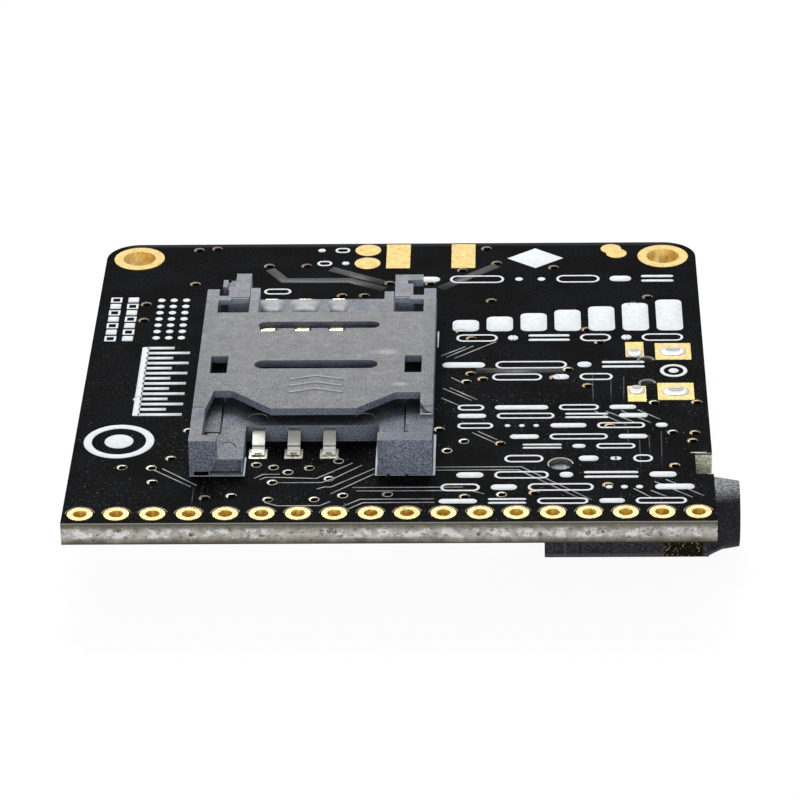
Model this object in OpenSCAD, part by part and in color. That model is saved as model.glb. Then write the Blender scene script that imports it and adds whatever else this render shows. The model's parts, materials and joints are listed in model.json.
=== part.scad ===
// Cellular breakout board: a small circuit board with a SIM card holder on its
// upper face and the radio module, jack, sockets and small parts on its underside.
// Millimetres. X runs along the header row, Y away from it, Z up. The origin is the
// middle of the header row on the board's upper face.

/* [Board] */
// Width of the board, along the header row
board_w = 45.72; // [45.72:0.02:46.6]
// Depth of the board, away from the header row
board_d = 44.45; // [44.3:0.05:45.4]
// Thickness of the laminate
board_t = 1.7; // [1.5:0.05:1.8]
// Radius of the two back corners
corner_r = 2.5; // [1:0.1:3]

/* [Holes] */
// Pitch of the header holes
header_pitch = 2.54; // [2.5:0.01:2.54]
// Diameter of a plated header hole
header_hole_d = 1; // [0.9:0.02:1.1]
// Diameter of a header pad
header_pad_d = 1.8; // [1.6:0.05:1.95]
// Distance of the header row from the front edge
header_edge = 1.27; // [1.2:0.01:1.35]
// Diameter of a plated mounting hole
mount_hole_d = 2.5; // [2.2:0.1:2.8]
// Diameter of a mounting pad
mount_pad_d = 3.9; // [3.5:0.1:4.1]
// Distance of the mounting holes from the side and back edges
mount_edge = 2.54; // [2.3:0.02:2.7]
// Thickness of the plating and of the bare pads
plating_t = 0.04; // [0.03:0.01:0.06]

/* [SIM holder] */
// Left side of the holder, from the board's left edge
sim_left = 8.6; // [8.2:0.1:8.8]
// Front of the holder, from the board's front edge
sim_front = 6.9; // [6.6:0.1:7]
// Width of the holder
sim_w = 17.2; // [17:0.05:17.5]
// Depth of the holder
sim_d = 26.95; // [26.8:0.05:27.2]
// Height of the holder
sim_h = 2.75; // [2.7:0.05:2.9]
// Height of the floor that the card slides on
sim_floor_h = 1.3; // [1.2:0.05:1.35]
// Thickness of the cover over the card
sim_cover_t = 0.55; // [0.5:0.05:0.6]
// Width of a side rail
sim_rail_w = 0.9; // [0.8:0.05:1]
// Distance between two SIM contacts
sim_contact_pitch = 2.54; // [2.5:0.01:2.54]
// Width of a SIM contact
sim_contact_w = 0.9; // [0.7:0.05:0.95]
// Thickness of the spring strip of the SIM contacts
sim_contact_t = 0.15; // [0.12:0.01:0.18]

/* [Headset jack] */
// Height of the jack's axis under the board
jack_axis_h = 2.4; // [2.35:0.05:2.5]
// Distance of the jack's axis from the front edge
jack_y = 8.35; // [8:0.05:8.4]
// Length of the jack's body
jack_body_l = 11.7; // [11.2:0.1:12]
// Width of the jack's body
jack_body_w = 6; // [5.8:0.1:6.2]
// Thickness of the body under the bore
jack_wall = 0.4; // [0.35:0.05:0.6]
// Bore that takes the plug
jack_bore_d = 3.6; // [3.5:0.05:3.6]
// Diameter of the collar at the board's edge
jack_collar_d = 5.27; // [5.1:0.01:5.4]
// Diameter of the nose at its tip
jack_nose_d = 4.7; // [4.4:0.01:4.8]
// How far the nose stands out past the board
jack_nose_l = 1.92; // [1.6:0.01:2.2]

/* [Charging socket] */
// How far the socket's axis lies behind the middle of the board
usb_shift = 0.275; // [0.1:0.025:0.45]
// Width of the socket's shell
usb_w = 7.5; // [7.4:0.05:7.6]
// Depth of the shell, from its mouth
usb_l = 5.2; // [5:0.1:5.4]
// Height of the shell
usb_h = 2.55; // [2.5:0.05:2.7]
// Thickness of the shell
usb_t = 0.25; // [0.2:0.01:0.28]

/* [Battery socket] */
// Distance of the socket's axis from the back edge
cell_edge = 11; // [10.9:0.05:11.2]
// Width of the battery socket's body
cell_w = 7.9; // [7.7:0.1:8]
// Depth of the body, from its mouth
cell_l = 7.5; // [7.2:0.1:7.6]
// Height of the body
cell_h = 5.5; // [5.3:0.1:5.8]
// Distance between the two pins
cell_pitch = 2; // [1.9:0.05:2.1]

/* [Radio module] */
// Distance of the module from the left edge
module_left = 1.8; // [1.6:0.1:2]
// Distance of the module from the front edge
module_front = 7.6; // [7.4:0.1:7.8]
// Distance of the module from the back edge
module_back = 6.85; // [6.8:0.05:7]
// Width of the strip between the module and the right edge
side_strip = 13.92; // [13.8:0.02:14.2]
// Thickness of the module's own board
module_board_t = 0.8; // [0.7:0.05:0.9]
// Height of the shield can over that board
module_can_h = 2.1; // [1.9:0.05:2.3]
// Number of edge contacts on each side
module_contacts = 20; // [12:1:22]
// Pitch of the edge contacts
module_contact_pitch = 1.2; // [1:0.05:1.2]

/* [Key button] */
// Diameter of the plunger
key_d = 2; // [1.8:0.05:2.05]
// Thickness of the switch's floor
key_floor = 0.5; // [0.45:0.05:0.6]
// How far the plunger stands out of the cover
key_proud = 0.6; // [0.5:0.05:0.8]

/* [Hidden] */

// Facets of small and large rounds
coarse = 16;
fine = 24;
smooth = 48;
smoothest = 64;
// How far a cutter runs past the face it opens
past = 0.2;

// Colours
mask = [0.08, 0.09, 0.1];
gold = [0.93, 0.79, 0.5];
tin = [0.82, 0.82, 0.8];
grey_plastic = [0.42, 0.43, 0.47];
black_plastic = [0.13, 0.13, 0.15];
cream = [0.92, 0.9, 0.84];
green = [0.1, 0.25, 0.16];
ivory = [0.93, 0.91, 0.86];
tan_ceramic = [0.62, 0.5, 0.38];
pale_resin = [0.95, 0.95, 0.9];
ochre = [0.75, 0.6, 0.25];

// Header and mounting holes: as many header holes as the board has room for
header_hole_r = header_hole_d / 2;
mount_hole_r = mount_hole_d / 2;
header_count = floor((board_w - header_pad_d) / header_pitch) + 1;
header_x = [for (i = [0 : header_count - 1])
    board_w / 2 + (i - (header_count - 1) / 2) * header_pitch];
mount_x = [mount_edge, board_w - mount_edge];
mount_y = board_d - mount_edge;

// Bare pads for an edge-mounted antenna socket, right of the board's middle
edge_pad_shift = 2.34;
edge_pad_x = board_w / 2 + edge_pad_shift;
edge_pad_gap = 5.05;
edge_pad_w = 1.85;
edge_pad_l = 4.2;
edge_pad_inset = 0.25;
signal_pad_w = 1.4;
// Round lands of the solder jumper, left of those pads
jumper_shift = 4.9;
jumper_x = edge_pad_x - jumper_shift;
jumper_d = 2;
jumper_gap = 2.3;
jumper_edge = 1.25;
// Bare land of two lobes: places from the right and back edges
test_d = 1.6;
test_at = [[6.52, 1.2], [6.12, 2]];

// SIM holder: places from the holder's own left front corner
sim_leg_w = 3.8;
sim_leg_l = 5;
sim_left_stop = [1.95, 0.9];
sim_right_stop = [3.85, 1.2];
sim_floor_end = sim_d - 1.7;
sim_rail_end = sim_d - 2.85;
sim_cover_end = sim_d - 6.75;
sim_tongue = [5.6, sim_w - 5.5];
sim_tongue_y = 4.9;
sim_shoulder = [2.7, sim_w - 2.7];
sim_shoulder_y = [7.65, 7.3];
// Where the rails narrow in front of the cover, and by how much
sim_gore_y = [4.75, 4.55];
sim_gore_w = 0.5;
// Arms of the cover beside the posts: width, gap to the post, ends
sim_arm_w = 0.7;
sim_arm_gap = 0.06;
sim_arm_end = [sim_d - 2.65, sim_d - 3.35];
// Each post: left side, width, back; then their shared front
sim_post = [[1.62, 1.58, sim_d - 0.2], [sim_w - 3.1, 1.35, sim_d - 0.5]];
sim_post_front = sim_d - 4.65;
// On a post's top: bevel along and down, groove from the front, wide and deep
sim_post_bevel = [0.2, 0.3];
sim_post_groove = [0.35, 0.12, 0.1];
// Corner cut from each post: width, first and last place, depth
sim_post_cut = [[0.45, sim_d - 2.45, sim_d], [0.4, sim_d - 2.05, sim_d - 1.4]];
sim_post_cut_h = 0.6;
// Bars from the rails to the posts, the lug on the left and the hook on the right post
sim_bar = [0.7, 0.4];
sim_lug = [0.55, sim_d - 1.75, 1.2];
sim_lug_z = [sim_h - 0.95, sim_h - 0.35];
sim_hook = [0.75, 0.9];
sim_window_w = 1.25;
sim_window_y = [10.4, 13.1];
sim_slot_x = [4.1, sim_w - 4.1];
sim_slot_y = [[11.1, 12.4], [sim_d - 9.4, sim_d - 8.3]];
sim_notch = [0.5, 1.1, 0.4];
sim_joint_w = 0.12;
sim_joint_h = 0.1;
sim_mark_d = 1.4;
sim_mark_h = 0.06;
sim_mark = [[4.6, 6.13], [sim_w - 4.9, 6.13]];
// Card guides beside the two rails: width, first y, height, groove
sim_guide_w = 1.05;
sim_guide_y = 3.85;
sim_guide_h = 0.12;
sim_guide_gap = 0.14;
sim_guide_deep = 0.25;
// Lowered end of the right rail: drop, and its end as places from the rail's inner side
sim_rail_drop = 0.35;
sim_rail_low = [[0.9, 4.1], [0.45, 4.5], [0.1, 5.6]];
// Gusset beside it, as places from the rail's inner side
sim_gusset = [[-0.1, 4.6], [-0.1, 3.66], [-0.57, 3.06], [-0.8, 2.2]];
// The worn corner under the left stop and the recess in the left leg's front
sim_corner_cut = [0.3, 1.05, 0.6, 0.3];
sim_leg_recess = [[1.4, 0.12], [3.65, 0.12], [3.65, 1.18], [1.95, 1.18]];
sim_leg_recess_d = 0.4;

// SIM contacts: channels in the floor, feet on their lands and sprung tips
sim_first_contact = 4.72;
sim_contact_x = [for (i = [0 : 2]) sim_first_contact + i * sim_contact_pitch];
sim_channel_w = 1.3;
sim_channel_floor = 0.55;
sim_front_channel = [7.3, 13.4];
sim_rear_channel = [sim_d - 10.25, sim_d - 3.25];
sim_tunnel = [0.68, 1.08];
sim_pad = [1.3, 1.4];
sim_foot_front = 2.7;
sim_foot_rear = sim_d - 0.1;
sim_foot_l = 0.75;
sim_foot_rise = [0.32, 0.26];
sim_foot_z = plating_t + sim_contact_t / 2;
// A tip: place along the card, height against the cover, length and drop of its slopes
sim_front_tip = [10.8, -0.18, 0.6, 0.07];
sim_rear_tip = [sim_d - 8.8, 0.06, 0.35, 0.11];
sim_tip_drop = 0.6;

// Headset jack: places from its right and left ends
jack_inset = 0.27;
jack_right = board_w - jack_inset;
jack_left = jack_right - jack_body_l;
jack_tip_x = board_w + jack_nose_l;
jack_body_h = jack_axis_h + jack_bore_d / 2 + jack_wall;
jack_chamfer = 0.65;
// Shoulder under the collar: length, and its size at the far end as a share
jack_shoulder = [1.3, 0.8];
jack_collar_in = 0.85;
jack_collar_l = 1.3;
jack_collar_x = jack_right - jack_collar_in;
jack_chamber = jack_bore_d + 0.2;
jack_mouth_l = 3.4;
jack_back = 0.75;
jack_peg_x = jack_left + 1.15;
jack_peg_d = 1.6;
jack_peg_clear = 0.05;
jack_peg_l = 1.3;
// Room round the collar where it dips into the board's edge
jack_notch_gap = [0.1, 0.49];
jack_notch_w = 2 * (sqrt(pow(jack_collar_d / 2, 2) - pow(jack_axis_h, 2)) + jack_notch_gap[1]);
jack_strip_t = 0.25;
jack_foot_l = 0.8;
jack_foot_t = 0.15;
jack_window = 1;
// How far a contact's finger stops short of the chamber
jack_finger_gap = 0.05;
// Each terminal: centre along the jack, width, side, height of its plate
jack_plate_h = jack_axis_h + jack_window / 2;
jack_sleeve = [jack_right - 1.83, 2.75, -1, jack_body_h - 0.4];
jack_ring_a = [jack_left + 1.95, 1.2, -1, jack_plate_h];
jack_ring_b = [jack_right - 4.25, 1.4, 1, jack_plate_h];
jack_tip = [jack_left + 3.35, 1.4, 1, jack_plate_h];
jack_foot_end = jack_y + jack_body_w / 2 + jack_foot_l;

// Charging socket: tabs as back from the mouth, out from the axis and width
usb_inset = 0.12;
usb_mouth = board_w - usb_inset;
usb_y = board_d / 2 + usb_shift;
usb_chamfer = [0.45, 1];
usb_big_tab = [2.15, usb_w / 2 - 0.55, 1.2];
usb_small_tab = [usb_l - 0.2, usb_w / 2 - 0.75, 0.4];
usb_big_slot = [1.55, 0.65];
usb_small_slot = [0.9, 0.55];
usb_big_pad = [2.65, 2.65];
usb_small_pad = [1.35, 2.4];
usb_small_pad_shift = 0.55;
usb_tab_l = 1.35;
usb_peg_x = usb_l - 1;
usb_peg_y = usb_w / 2 - 1.9;
usb_peg_d = 0.9;
usb_peg_hole_d = 1;
usb_peg_l = 1.1;
usb_block_l = 1.7;
usb_tongue = [3.9, 0.6];
usb_tongue_end = 0.5;
usb_tongue_z = 1.05;
usb_contact_pitch = 0.65;
usb_contact_w = 0.28;
usb_contact_t = 0.12;
usb_contact_tip = 0.3;
usb_foot = [0.12, 0.4, 1.2];
// Latch springs cut from the shell: middle from the mouth and the axis, opening, spring
usb_latch_at = [2.6, usb_w / 2 - 1.85];
usb_latch_hole = [2.2, 0.9];
usb_latch = [1.7, 0.5];

// Battery socket
cell_y = board_d - cell_edge;
cell_inset = 0.05;
cell_mouth = board_w - cell_inset;
cell_wall = 0.9;
cell_back = 2.3;
cell_floor = 0.8;
cell_key_w = 0.7;
cell_key_l = 3.2;
cell_pin = 0.5;
cell_pin_z = cell_h / 2;
cell_pin_tip = 1.5;
cell_pin_back = 0.35;
cell_foot = 1.4;
cell_foot_end = cell_mouth - cell_l - cell_pin_back - cell_foot;
cell_anchor = [1.6, 0.3, 2.2];
cell_anchor_x = 2.6;
cell_anchor_foot = 0.9;

// Radio module: it fills the board beside the strip for the sockets
module_w = board_w - module_left - side_strip;
module_d = board_d - module_front - module_back;
module_right = module_left + module_w;
module_contact_w = 0.7;
module_contact_in = 0.6;
module_hole_d = 0.44;
module_can_inset = 0.8;
module_can_t = 0.2;
module_can_r = 0.9;
module_wall = module_can_inset + module_can_t;
// Chips under the can, with even gaps between them and the can's walls
processor_size = [11, 11, 1.2];
memory_size = [8, 9, 1.1];
amplifier_size = [7, 5, 1];
module_gap = [(module_w - 2 * module_wall - processor_size[0] - memory_size[0]) / 3,
    (module_d - 2 * module_wall - processor_size[1] - amplifier_size[1]) / 3];
processor_at = [module_wall + module_gap[0] + processor_size[0] / 2,
    module_d - module_wall - module_gap[1] - processor_size[1] / 2];
memory_at = [module_w - module_wall - module_gap[0] - memory_size[0] / 2, processor_at[1]];
amplifier_at = [memory_at[0], module_wall + module_gap[1] + amplifier_size[1] / 2];

// Antenna sockets: one left of the edge pads, one from the right edge
antenna_side = [7.8, 12.32];
antenna_edge = 3.2;
antenna_at = [[edge_pad_x - antenna_side[0], board_d - antenna_edge],
    [board_w - antenna_side[1], board_d - antenna_edge]];
antenna_base = [2.6, 0.4];
antenna_ring = [2, 1.7];
antenna_flange = [0.15, 0.12];
antenna_neck = [0.05, 0.2, 0.45, 0.55];
antenna_bevel = 0.08;
antenna_h = 1.25;
antenna_pin_d = 0.5;
antenna_pin_h = 1;
antenna_pin_bevel = 0.12;

// Key button: heights stack from the board, and it stands between the jack and the socket
key_size = [4.2, 3.2];
key_cover_t = 0.2;
key_well_d = 2.9;
key_flange_t = 0.35;
key_flange_gap = 0.05;
key_flange_over = 0.6;
key_clear = 0.08;
key_bevel = 0.12;
key_dome_d = 2.5;
key_dome_h = 0.3;
key_dome_t = 0.07;
key_dome_gap = 0.1;
key_body_h = key_floor + key_dome_h + key_dome_gap + key_flange_t + key_flange_gap
    + key_cover_t;
key_lead = [0.7, 0.5, 0.15];
key_lead_y = 0.95;
key_edge = 3.62;
key_at = [board_w - key_edge,
    (jack_y + jack_body_w / 2 + usb_y - usb_w / 2) / 2];

// Small two-ended parts
small_size = [1.6, 0.8, 0.5];
small_gap = 0.4;
small_end = 0.3;
cap_h = 0.8;
led_h = 0.6;
led_base_h = 0.25;

// Chips of the column beside the module. Across, each keeps a gap to the next one
chip_size = [4.4, 5, 1];
chip_leads = 7;
chip_lead_pitch = 0.65;
chip_lead = [0.25, 1, 0.15];
chip_shoulder = [0.25, 0.45];
chip_stand = 0.1;
chip_gap = 0.1;
charger_size = [4, 4, 0.85];
charger_pads = 5;
charger_pad = [0.3, 0.5];
charger_heat_pad = 0.6;
bulk_size = [3.2, 6, 2.5];
bulk_end = [2.2, 0.1, 1.2, 1.4];
diode_size = [2.6, 4.3, 2];
diode_end = [1.4, 0.15, 1, 1.2];
chip_x = key_at[0] - key_size[0] / 2 - key_lead[1] - chip_gap - chip_lead[1] - chip_size[0] / 2;
usb_cap_x = usb_mouth - usb_l - usb_foot[2] - small_gap - small_size[1] / 2;
charger_x = usb_cap_x - small_size[1] / 2 - small_gap - charger_size[0] / 2;
charger_resistor_x = charger_x - charger_size[0] / 2 - small_gap - small_size[1] / 2;
diode_x = (module_right + cell_foot_end) / 2;

// Along the column the parts share the free length evenly, from the jack to the back row
back_row_edge = 4.65;
column_start = jack_foot_end;
column_end = board_d - back_row_edge - small_size[0] / 2;
column_parts = [chip_size[1], charger_size[1], bulk_size[1], small_size[1], small_size[1],
    diode_size[1]];
function sum_to(list, n) = n == 0 ? 0 : list[n - 1] + sum_to(list, n - 1);
column_gap = (column_end - column_start - sum_to(column_parts, len(column_parts)))
    / (len(column_parts) + 1);
column_y = [for (i = [0 : len(column_parts) - 1]) column_start
    + (i + 1) * column_gap + sum_to(column_parts, i) + column_parts[i] / 2];
chip_at = [chip_x, column_y[0]];
charger_at = [charger_x, column_y[1]];
bulk_at = [diode_x, column_y[2]];
diode_at = [diode_x, column_y[5]];

// Two rows in front of the module, spread between the left edge and the transistors
transistor_size = [2.9, 1.3, 1];
transistor_lead = [0.4, 0.55, 0.15];
transistor_lead_x = 0.95;
transistor_shoulder = [0.15, 0.25];
front_transistor = [1.95, 5.25];
front_row = [4, 2.75, 6];
front_row_y = [4.4, 6.1];
front_transistor_y = 4.8;
back_transistor = [8, 2.05];
back_right = [9.32, 7.52];
back_left = [7, 10, 13];
back_left_edge = 5.05;
back_pads_edge = 5.25;
back_beside_pads = [2.8, 4.8];
back_led_edge = 1.45;
charger_beside = [1.2, 1.4];
front_pitch = (jack_left - front_transistor[1] - transistor_size[0] / 2 - front_row[1]
    - front_row[0]) / front_row[2];
transistor_at = [
    [jack_left - front_transistor[0], front_transistor_y],
    [jack_left - front_transistor[1], front_transistor_y],
    [back_transistor[0], board_d - back_transistor[1]]];

// Places of the small parts: centre x, centre y, turned by 90 degrees
resistor_at = concat(
    [for (i = [0 : front_row[2]]) [front_row[0] + i * front_pitch, front_row_y[0], 0]],
    [for (s = [-1, 1]) [charger_resistor_x, charger_at[1] + s * charger_beside[0], 90]],
    [for (x = back_right) [board_w - x, board_d - back_row_edge, 90]],
    [[edge_pad_x + back_beside_pads[0], board_d - back_pads_edge, 0]]);
capacitor_at = concat(
    [for (i = [3 : 5]) [front_row[0] + (i + 0.5) * front_pitch, front_row_y[1], 0]],
    [for (s = [-1, 1]) [usb_cap_x, charger_at[1] + s * charger_beside[1], 90]],
    [for (i = [3, 4]) [diode_x, column_y[i], 0]],
    [for (x = back_left) [x, board_d - back_left_edge, 0]],
    [[edge_pad_x - back_beside_pads[1], board_d - back_pads_edge, 0]]);
led_at = concat(
    [for (i = [0 : 2]) [front_row[0] + (i + 0.5) * front_pitch, front_row_y[1], 0]],
    [[board_w - back_right[0], board_d - back_led_edge, 0]]);

// Puts a shape drawn from the board's left front corner into the part's frame
module on_top() {
    translate([-board_w / 2, -header_edge, 0]) children();
}

// The same for the underside, where the shape's own Z points away from the board
module on_underside() {
    on_top() translate([0, 0, -board_t]) mirror([0, 0, 1]) children();
}

// The underside's frame for what stands on the plating there
module on_plating() {
    on_underside() translate([0, 0, plating_t]) children();
}

// Extrudes a profile drawn as (y, z) along X, from 0 to l
module along_x(l) {
    rotate([90, 0, 90]) linear_extrude(l) children();
}

// Extrudes a profile drawn as (x, z) along Y, centred on y = 0
module along_y(w) {
    translate([0, w / 2, 0]) rotate([90, 0, 0]) linear_extrude(w) children();
}

// A box centred in X and Y that stands on z = 0
module block(size) {
    translate([-size[0] / 2, -size[1] / 2, 0]) cube(size);
}

// A slot outline with round ends, l long along X and w wide
module slot_outline(l, w) {
    translate([-(l - w) / 2, -w / 2]) square([l - w, w]);
    for (s = [-1, 1]) translate([s * (l - w) / 2, 0]) circle(d = w, $fn = fine);
}

// Unit normal to the left of stretch i of a path
function stretch_normal(p, i) =
    let (d = p[i + 1] - p[i], l = norm(d)) [-d[1] / l, d[0] / l];

// Offset of path point i that keeps a strip's thickness through a bend
function bend_offset(p, i) =
    i == 0 ? stretch_normal(p, 0) :
    i == len(p) - 1 ? stretch_normal(p, i - 1) :
    let (a = stretch_normal(p, i - 1), b = stretch_normal(p, i), s = a + b)
    s * 2 / (s * s);

// Outline of a bent strip of thickness t along a path
module strip(p, t) {
    polygon(concat(
        [for (i = [0 : len(p) - 1]) p[i] + bend_offset(p, i) * t / 2],
        [for (i = [len(p) - 1 : -1 : 0]) p[i] - bend_offset(p, i) * t / 2]));
}

// A plated hole: a tube through the board with a pad on each face
module eyelet(hole_r, pad_r) {
    rotate_extrude($fn = smooth) polygon([
        [hole_r, plating_t], [pad_r, plating_t], [pad_r, 0],
        [hole_r + plating_t, 0], [hole_r + plating_t, -board_t],
        [pad_r, -board_t], [pad_r, -board_t - plating_t], [hole_r, -board_t - plating_t]]);
}

// A plated slot with a rectangular pad on each face
module slot_eyelet(slot, pad, shift) {
    difference() {
        union() {
            for (z = [0, -board_t - plating_t])
                translate([0, shift, z]) block([pad[0], pad[1], plating_t]);
            translate([0, 0, -board_t]) linear_extrude(board_t)
                slot_outline(slot[0] + 2 * plating_t, slot[1] + 2 * plating_t);
        }
        translate([0, 0, -board_t - past]) linear_extrude(board_t + 2 * past)
            slot_outline(slot[0], slot[1]);
    }
}

// Places of the shell's slots: back from the mouth and out from the axis
module at_usb_slots(tab) {
    for (s = [-1, 1])
        translate([usb_mouth - tab[0], usb_y + s * tab[1], 0]) mirror([0, s < 0 ? 1 : 0, 0])
            children();
}

module board() {
    inner = board_w - 2 * corner_r;
    color(mask) on_top() translate([0, 0, -board_t]) difference() {
        union() {
            cube([board_w, board_d - corner_r, board_t]);
            translate([corner_r, 0, 0]) cube([inner, board_d, board_t]);
            for (x = [corner_r, board_w - corner_r])
                translate([x, board_d - corner_r, 0])
                    cylinder(h = board_t, r = corner_r, $fn = smooth);
        }
        translate([0, 0, -past]) board_cuts(board_t + 2 * past);
    }
}

// Every hole and slot in the laminate, h deep
module board_cuts(h) {
    for (x = header_x) translate([x, header_edge, 0])
        cylinder(h = h, r = header_hole_r + plating_t, $fn = fine);
    for (x = mount_x) translate([x, mount_y, 0])
        cylinder(h = h, r = mount_hole_r + plating_t, $fn = smooth);
    at_usb_slots(usb_big_tab) linear_extrude(h)
        slot_outline(usb_big_slot[0] + 2 * plating_t, usb_big_slot[1] + 2 * plating_t);
    at_usb_slots(usb_small_tab) linear_extrude(h)
        slot_outline(usb_small_slot[0] + 2 * plating_t, usb_small_slot[1] + 2 * plating_t);
    for (s = [-1, 1]) translate([usb_mouth - usb_peg_x, usb_y + s * usb_peg_y, 0])
        cylinder(h = h, d = usb_peg_hole_d, $fn = fine);
    translate([jack_peg_x, jack_y, 0])
        cylinder(h = h, d = jack_peg_d + 2 * jack_peg_clear, $fn = fine);
    translate([jack_collar_x - jack_notch_gap[0], jack_y - jack_notch_w / 2, 0])
        cube([board_w - jack_collar_x + jack_notch_gap[0] + past, jack_notch_w, h]);
}

module header_plating() {
    color(gold) on_top() for (x = header_x)
        translate([x, header_edge, 0]) eyelet(header_hole_r, header_pad_d / 2);
}

module mounting_hole_plating() {
    color(gold) on_top() for (x = mount_x)
        translate([x, mount_y, 0]) eyelet(mount_hole_r, mount_pad_d / 2);
}

module usb_slot_plating() {
    color(gold) on_top() {
        at_usb_slots(usb_big_tab) slot_eyelet(usb_big_slot, usb_big_pad, 0);
        at_usb_slots(usb_small_tab)
            slot_eyelet(usb_small_slot, usb_small_pad, usb_small_pad_shift);
    }
}

// Ground pads on both faces and the signal pad between them on the underside
module antenna_edge_pads() {
    y = board_d - edge_pad_inset - edge_pad_l / 2;
    color(gold) {
        for (x = [-1, 1] * edge_pad_gap / 2) {
            on_top() translate([edge_pad_x + x, y, 0])
                block([edge_pad_w, edge_pad_l, plating_t]);
            on_underside() translate([edge_pad_x + x, y, 0])
                block([edge_pad_w, edge_pad_l, plating_t]);
        }
        on_underside() translate([edge_pad_x, y, 0])
            block([signal_pad_w, edge_pad_l, plating_t]);
    }
}

module jumper_pads() {
    color(gold) on_top() for (i = [0, 1])
        translate([jumper_x, board_d - jumper_edge - i * jumper_gap, 0])
            cylinder(h = plating_t, d = jumper_d, $fn = smooth);
}

// A bare land made of two lobes
module test_pad() {
    color(gold) on_top() union() for (p = test_at)
        translate([board_w - p[0], board_d - p[1], 0])
            cylinder(h = plating_t, d = test_d, $fn = smooth);
}

// Lands under the feet of the SIM contacts
module sim_pads() {
    color(gold) on_top() translate([sim_left, sim_front, 0])
        for (x = sim_contact_x, y = [sim_foot_front + sim_foot_l / 2, sim_foot_rear - sim_foot_l / 2])
            translate([x, y, 0]) block([sim_pad[0], sim_pad[1], plating_t]);
}

// Outline of the cover: a tongue in front, two arms behind
module sim_cover_outline() {
    right = sim_w - sim_rail_w;
    arm = [sim_post[0][0] + sim_post[0][1] + sim_arm_gap, sim_post[1][0] - sim_arm_gap];
    polygon([
        [sim_rail_w, sim_gore_y[0]], [sim_rail_w + sim_gore_w, sim_shoulder_y[0]],
        [sim_shoulder[0], sim_shoulder_y[0]],
        [sim_tongue[0], sim_tongue_y], [sim_tongue[1], sim_tongue_y],
        [sim_shoulder[1], sim_shoulder_y[1]], [right, sim_shoulder_y[1]],
        [right, sim_cover_end], [arm[1], sim_cover_end], [arm[1], sim_arm_end[1]],
        [arm[1] - sim_arm_w, sim_arm_end[1]], [arm[1] - sim_arm_w, sim_cover_end],
        [arm[0] + sim_arm_w, sim_cover_end], [arm[0] + sim_arm_w, sim_arm_end[0]],
        [arm[0], sim_arm_end[0]], [arm[0], sim_cover_end], [sim_rail_w, sim_cover_end]]);
}

module sim_holder() {
    color(grey_plastic) on_top() translate([sim_left, sim_front, 0]) difference() {
        union() {
            sim_base();
            sim_posts();
            translate([0, 0, sim_h - sim_cover_t])
                linear_extrude(sim_cover_t) sim_cover_outline();
        }
        sim_floor_cuts();
        sim_cover_cuts();
        sim_guide_grooves();
    }
}

// Floor, legs, rails and the stops that hold the card's ends
module sim_base() {
    translate([0, sim_leg_l, 0]) cube([sim_w, sim_floor_end - sim_leg_l, sim_floor_h]);
    cube([sim_leg_w, sim_leg_l + past, sim_floor_h]);
    translate([sim_w - sim_right_stop[0], 0, 0])
        cube([sim_right_stop[0], sim_leg_l + past, sim_floor_h]);
    cube([sim_left_stop[0], sim_left_stop[1], sim_h]);
    translate([sim_w - sim_right_stop[0], 0, 0])
        cube([sim_right_stop[0], sim_right_stop[1], sim_h]);
    for (x = [0, sim_w - sim_rail_w]) translate([x, 0, 0])
        cube([sim_rail_w, sim_rail_end, sim_h]);
    translate([0, 0, sim_floor_h - past])
        linear_extrude(sim_h - sim_rail_drop - sim_floor_h + past) sim_gusset_outline();
    for (x = [sim_rail_w - past, sim_w - sim_rail_w - sim_guide_w])
        translate([x, sim_guide_y, sim_floor_h - past])
            cube([sim_guide_w + past, sim_window_y[0] - sim_guide_y, past + sim_guide_h]);
}

module sim_gusset_outline() {
    right = sim_w - sim_rail_w;
    out = [for (p = sim_gusset) [right + p[0], p[1]]];
    front = sim_right_stop[1] - past;
    last = out[len(out) - 1];
    polygon(concat([[right + past, front], [right + past, out[0][1]]], out,
        [[last[0], front]]));
}

// Two posts behind the cover, their bars to the rails, the lug and the hook
module sim_posts() {
    right = sim_w - sim_rail_w;
    for (p = sim_post) translate([p[0], sim_post_front, 0]) difference() {
        along_x(p[1]) polygon([
            [0, 0], [p[2] - sim_post_front, 0], [p[2] - sim_post_front, sim_h],
            [sim_post_bevel[0], sim_h], [0, sim_h - sim_post_bevel[1]]]);
        translate([-past, sim_post_groove[0], sim_h - sim_post_groove[2]])
            cube([p[1] + 2 * past, sim_post_groove[1], sim_post_groove[2] + past]);
    }
    for (x = [[sim_rail_w, sim_post[0][0]], [sim_post[1][0] + sim_post[1][1], right]])
        translate([x[0] - past, sim_post_front, sim_h - sim_bar[1]])
            cube([x[1] - x[0] + 2 * past, sim_bar[0], sim_bar[1]]);
    translate([sim_post[0][0] - sim_lug[0], sim_lug[1], sim_lug_z[0]])
        cube([sim_lug[0] + sim_post_cut[0][0], sim_lug[2], sim_lug_z[1] - sim_lug_z[0]]);
    translate([sim_post[1][0], sim_post[1][2] - sim_hook[1], sim_h - sim_cover_t])
        cube([sim_post[1][1] + sim_hook[0], sim_hook[1], sim_cover_t]);
}

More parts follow.
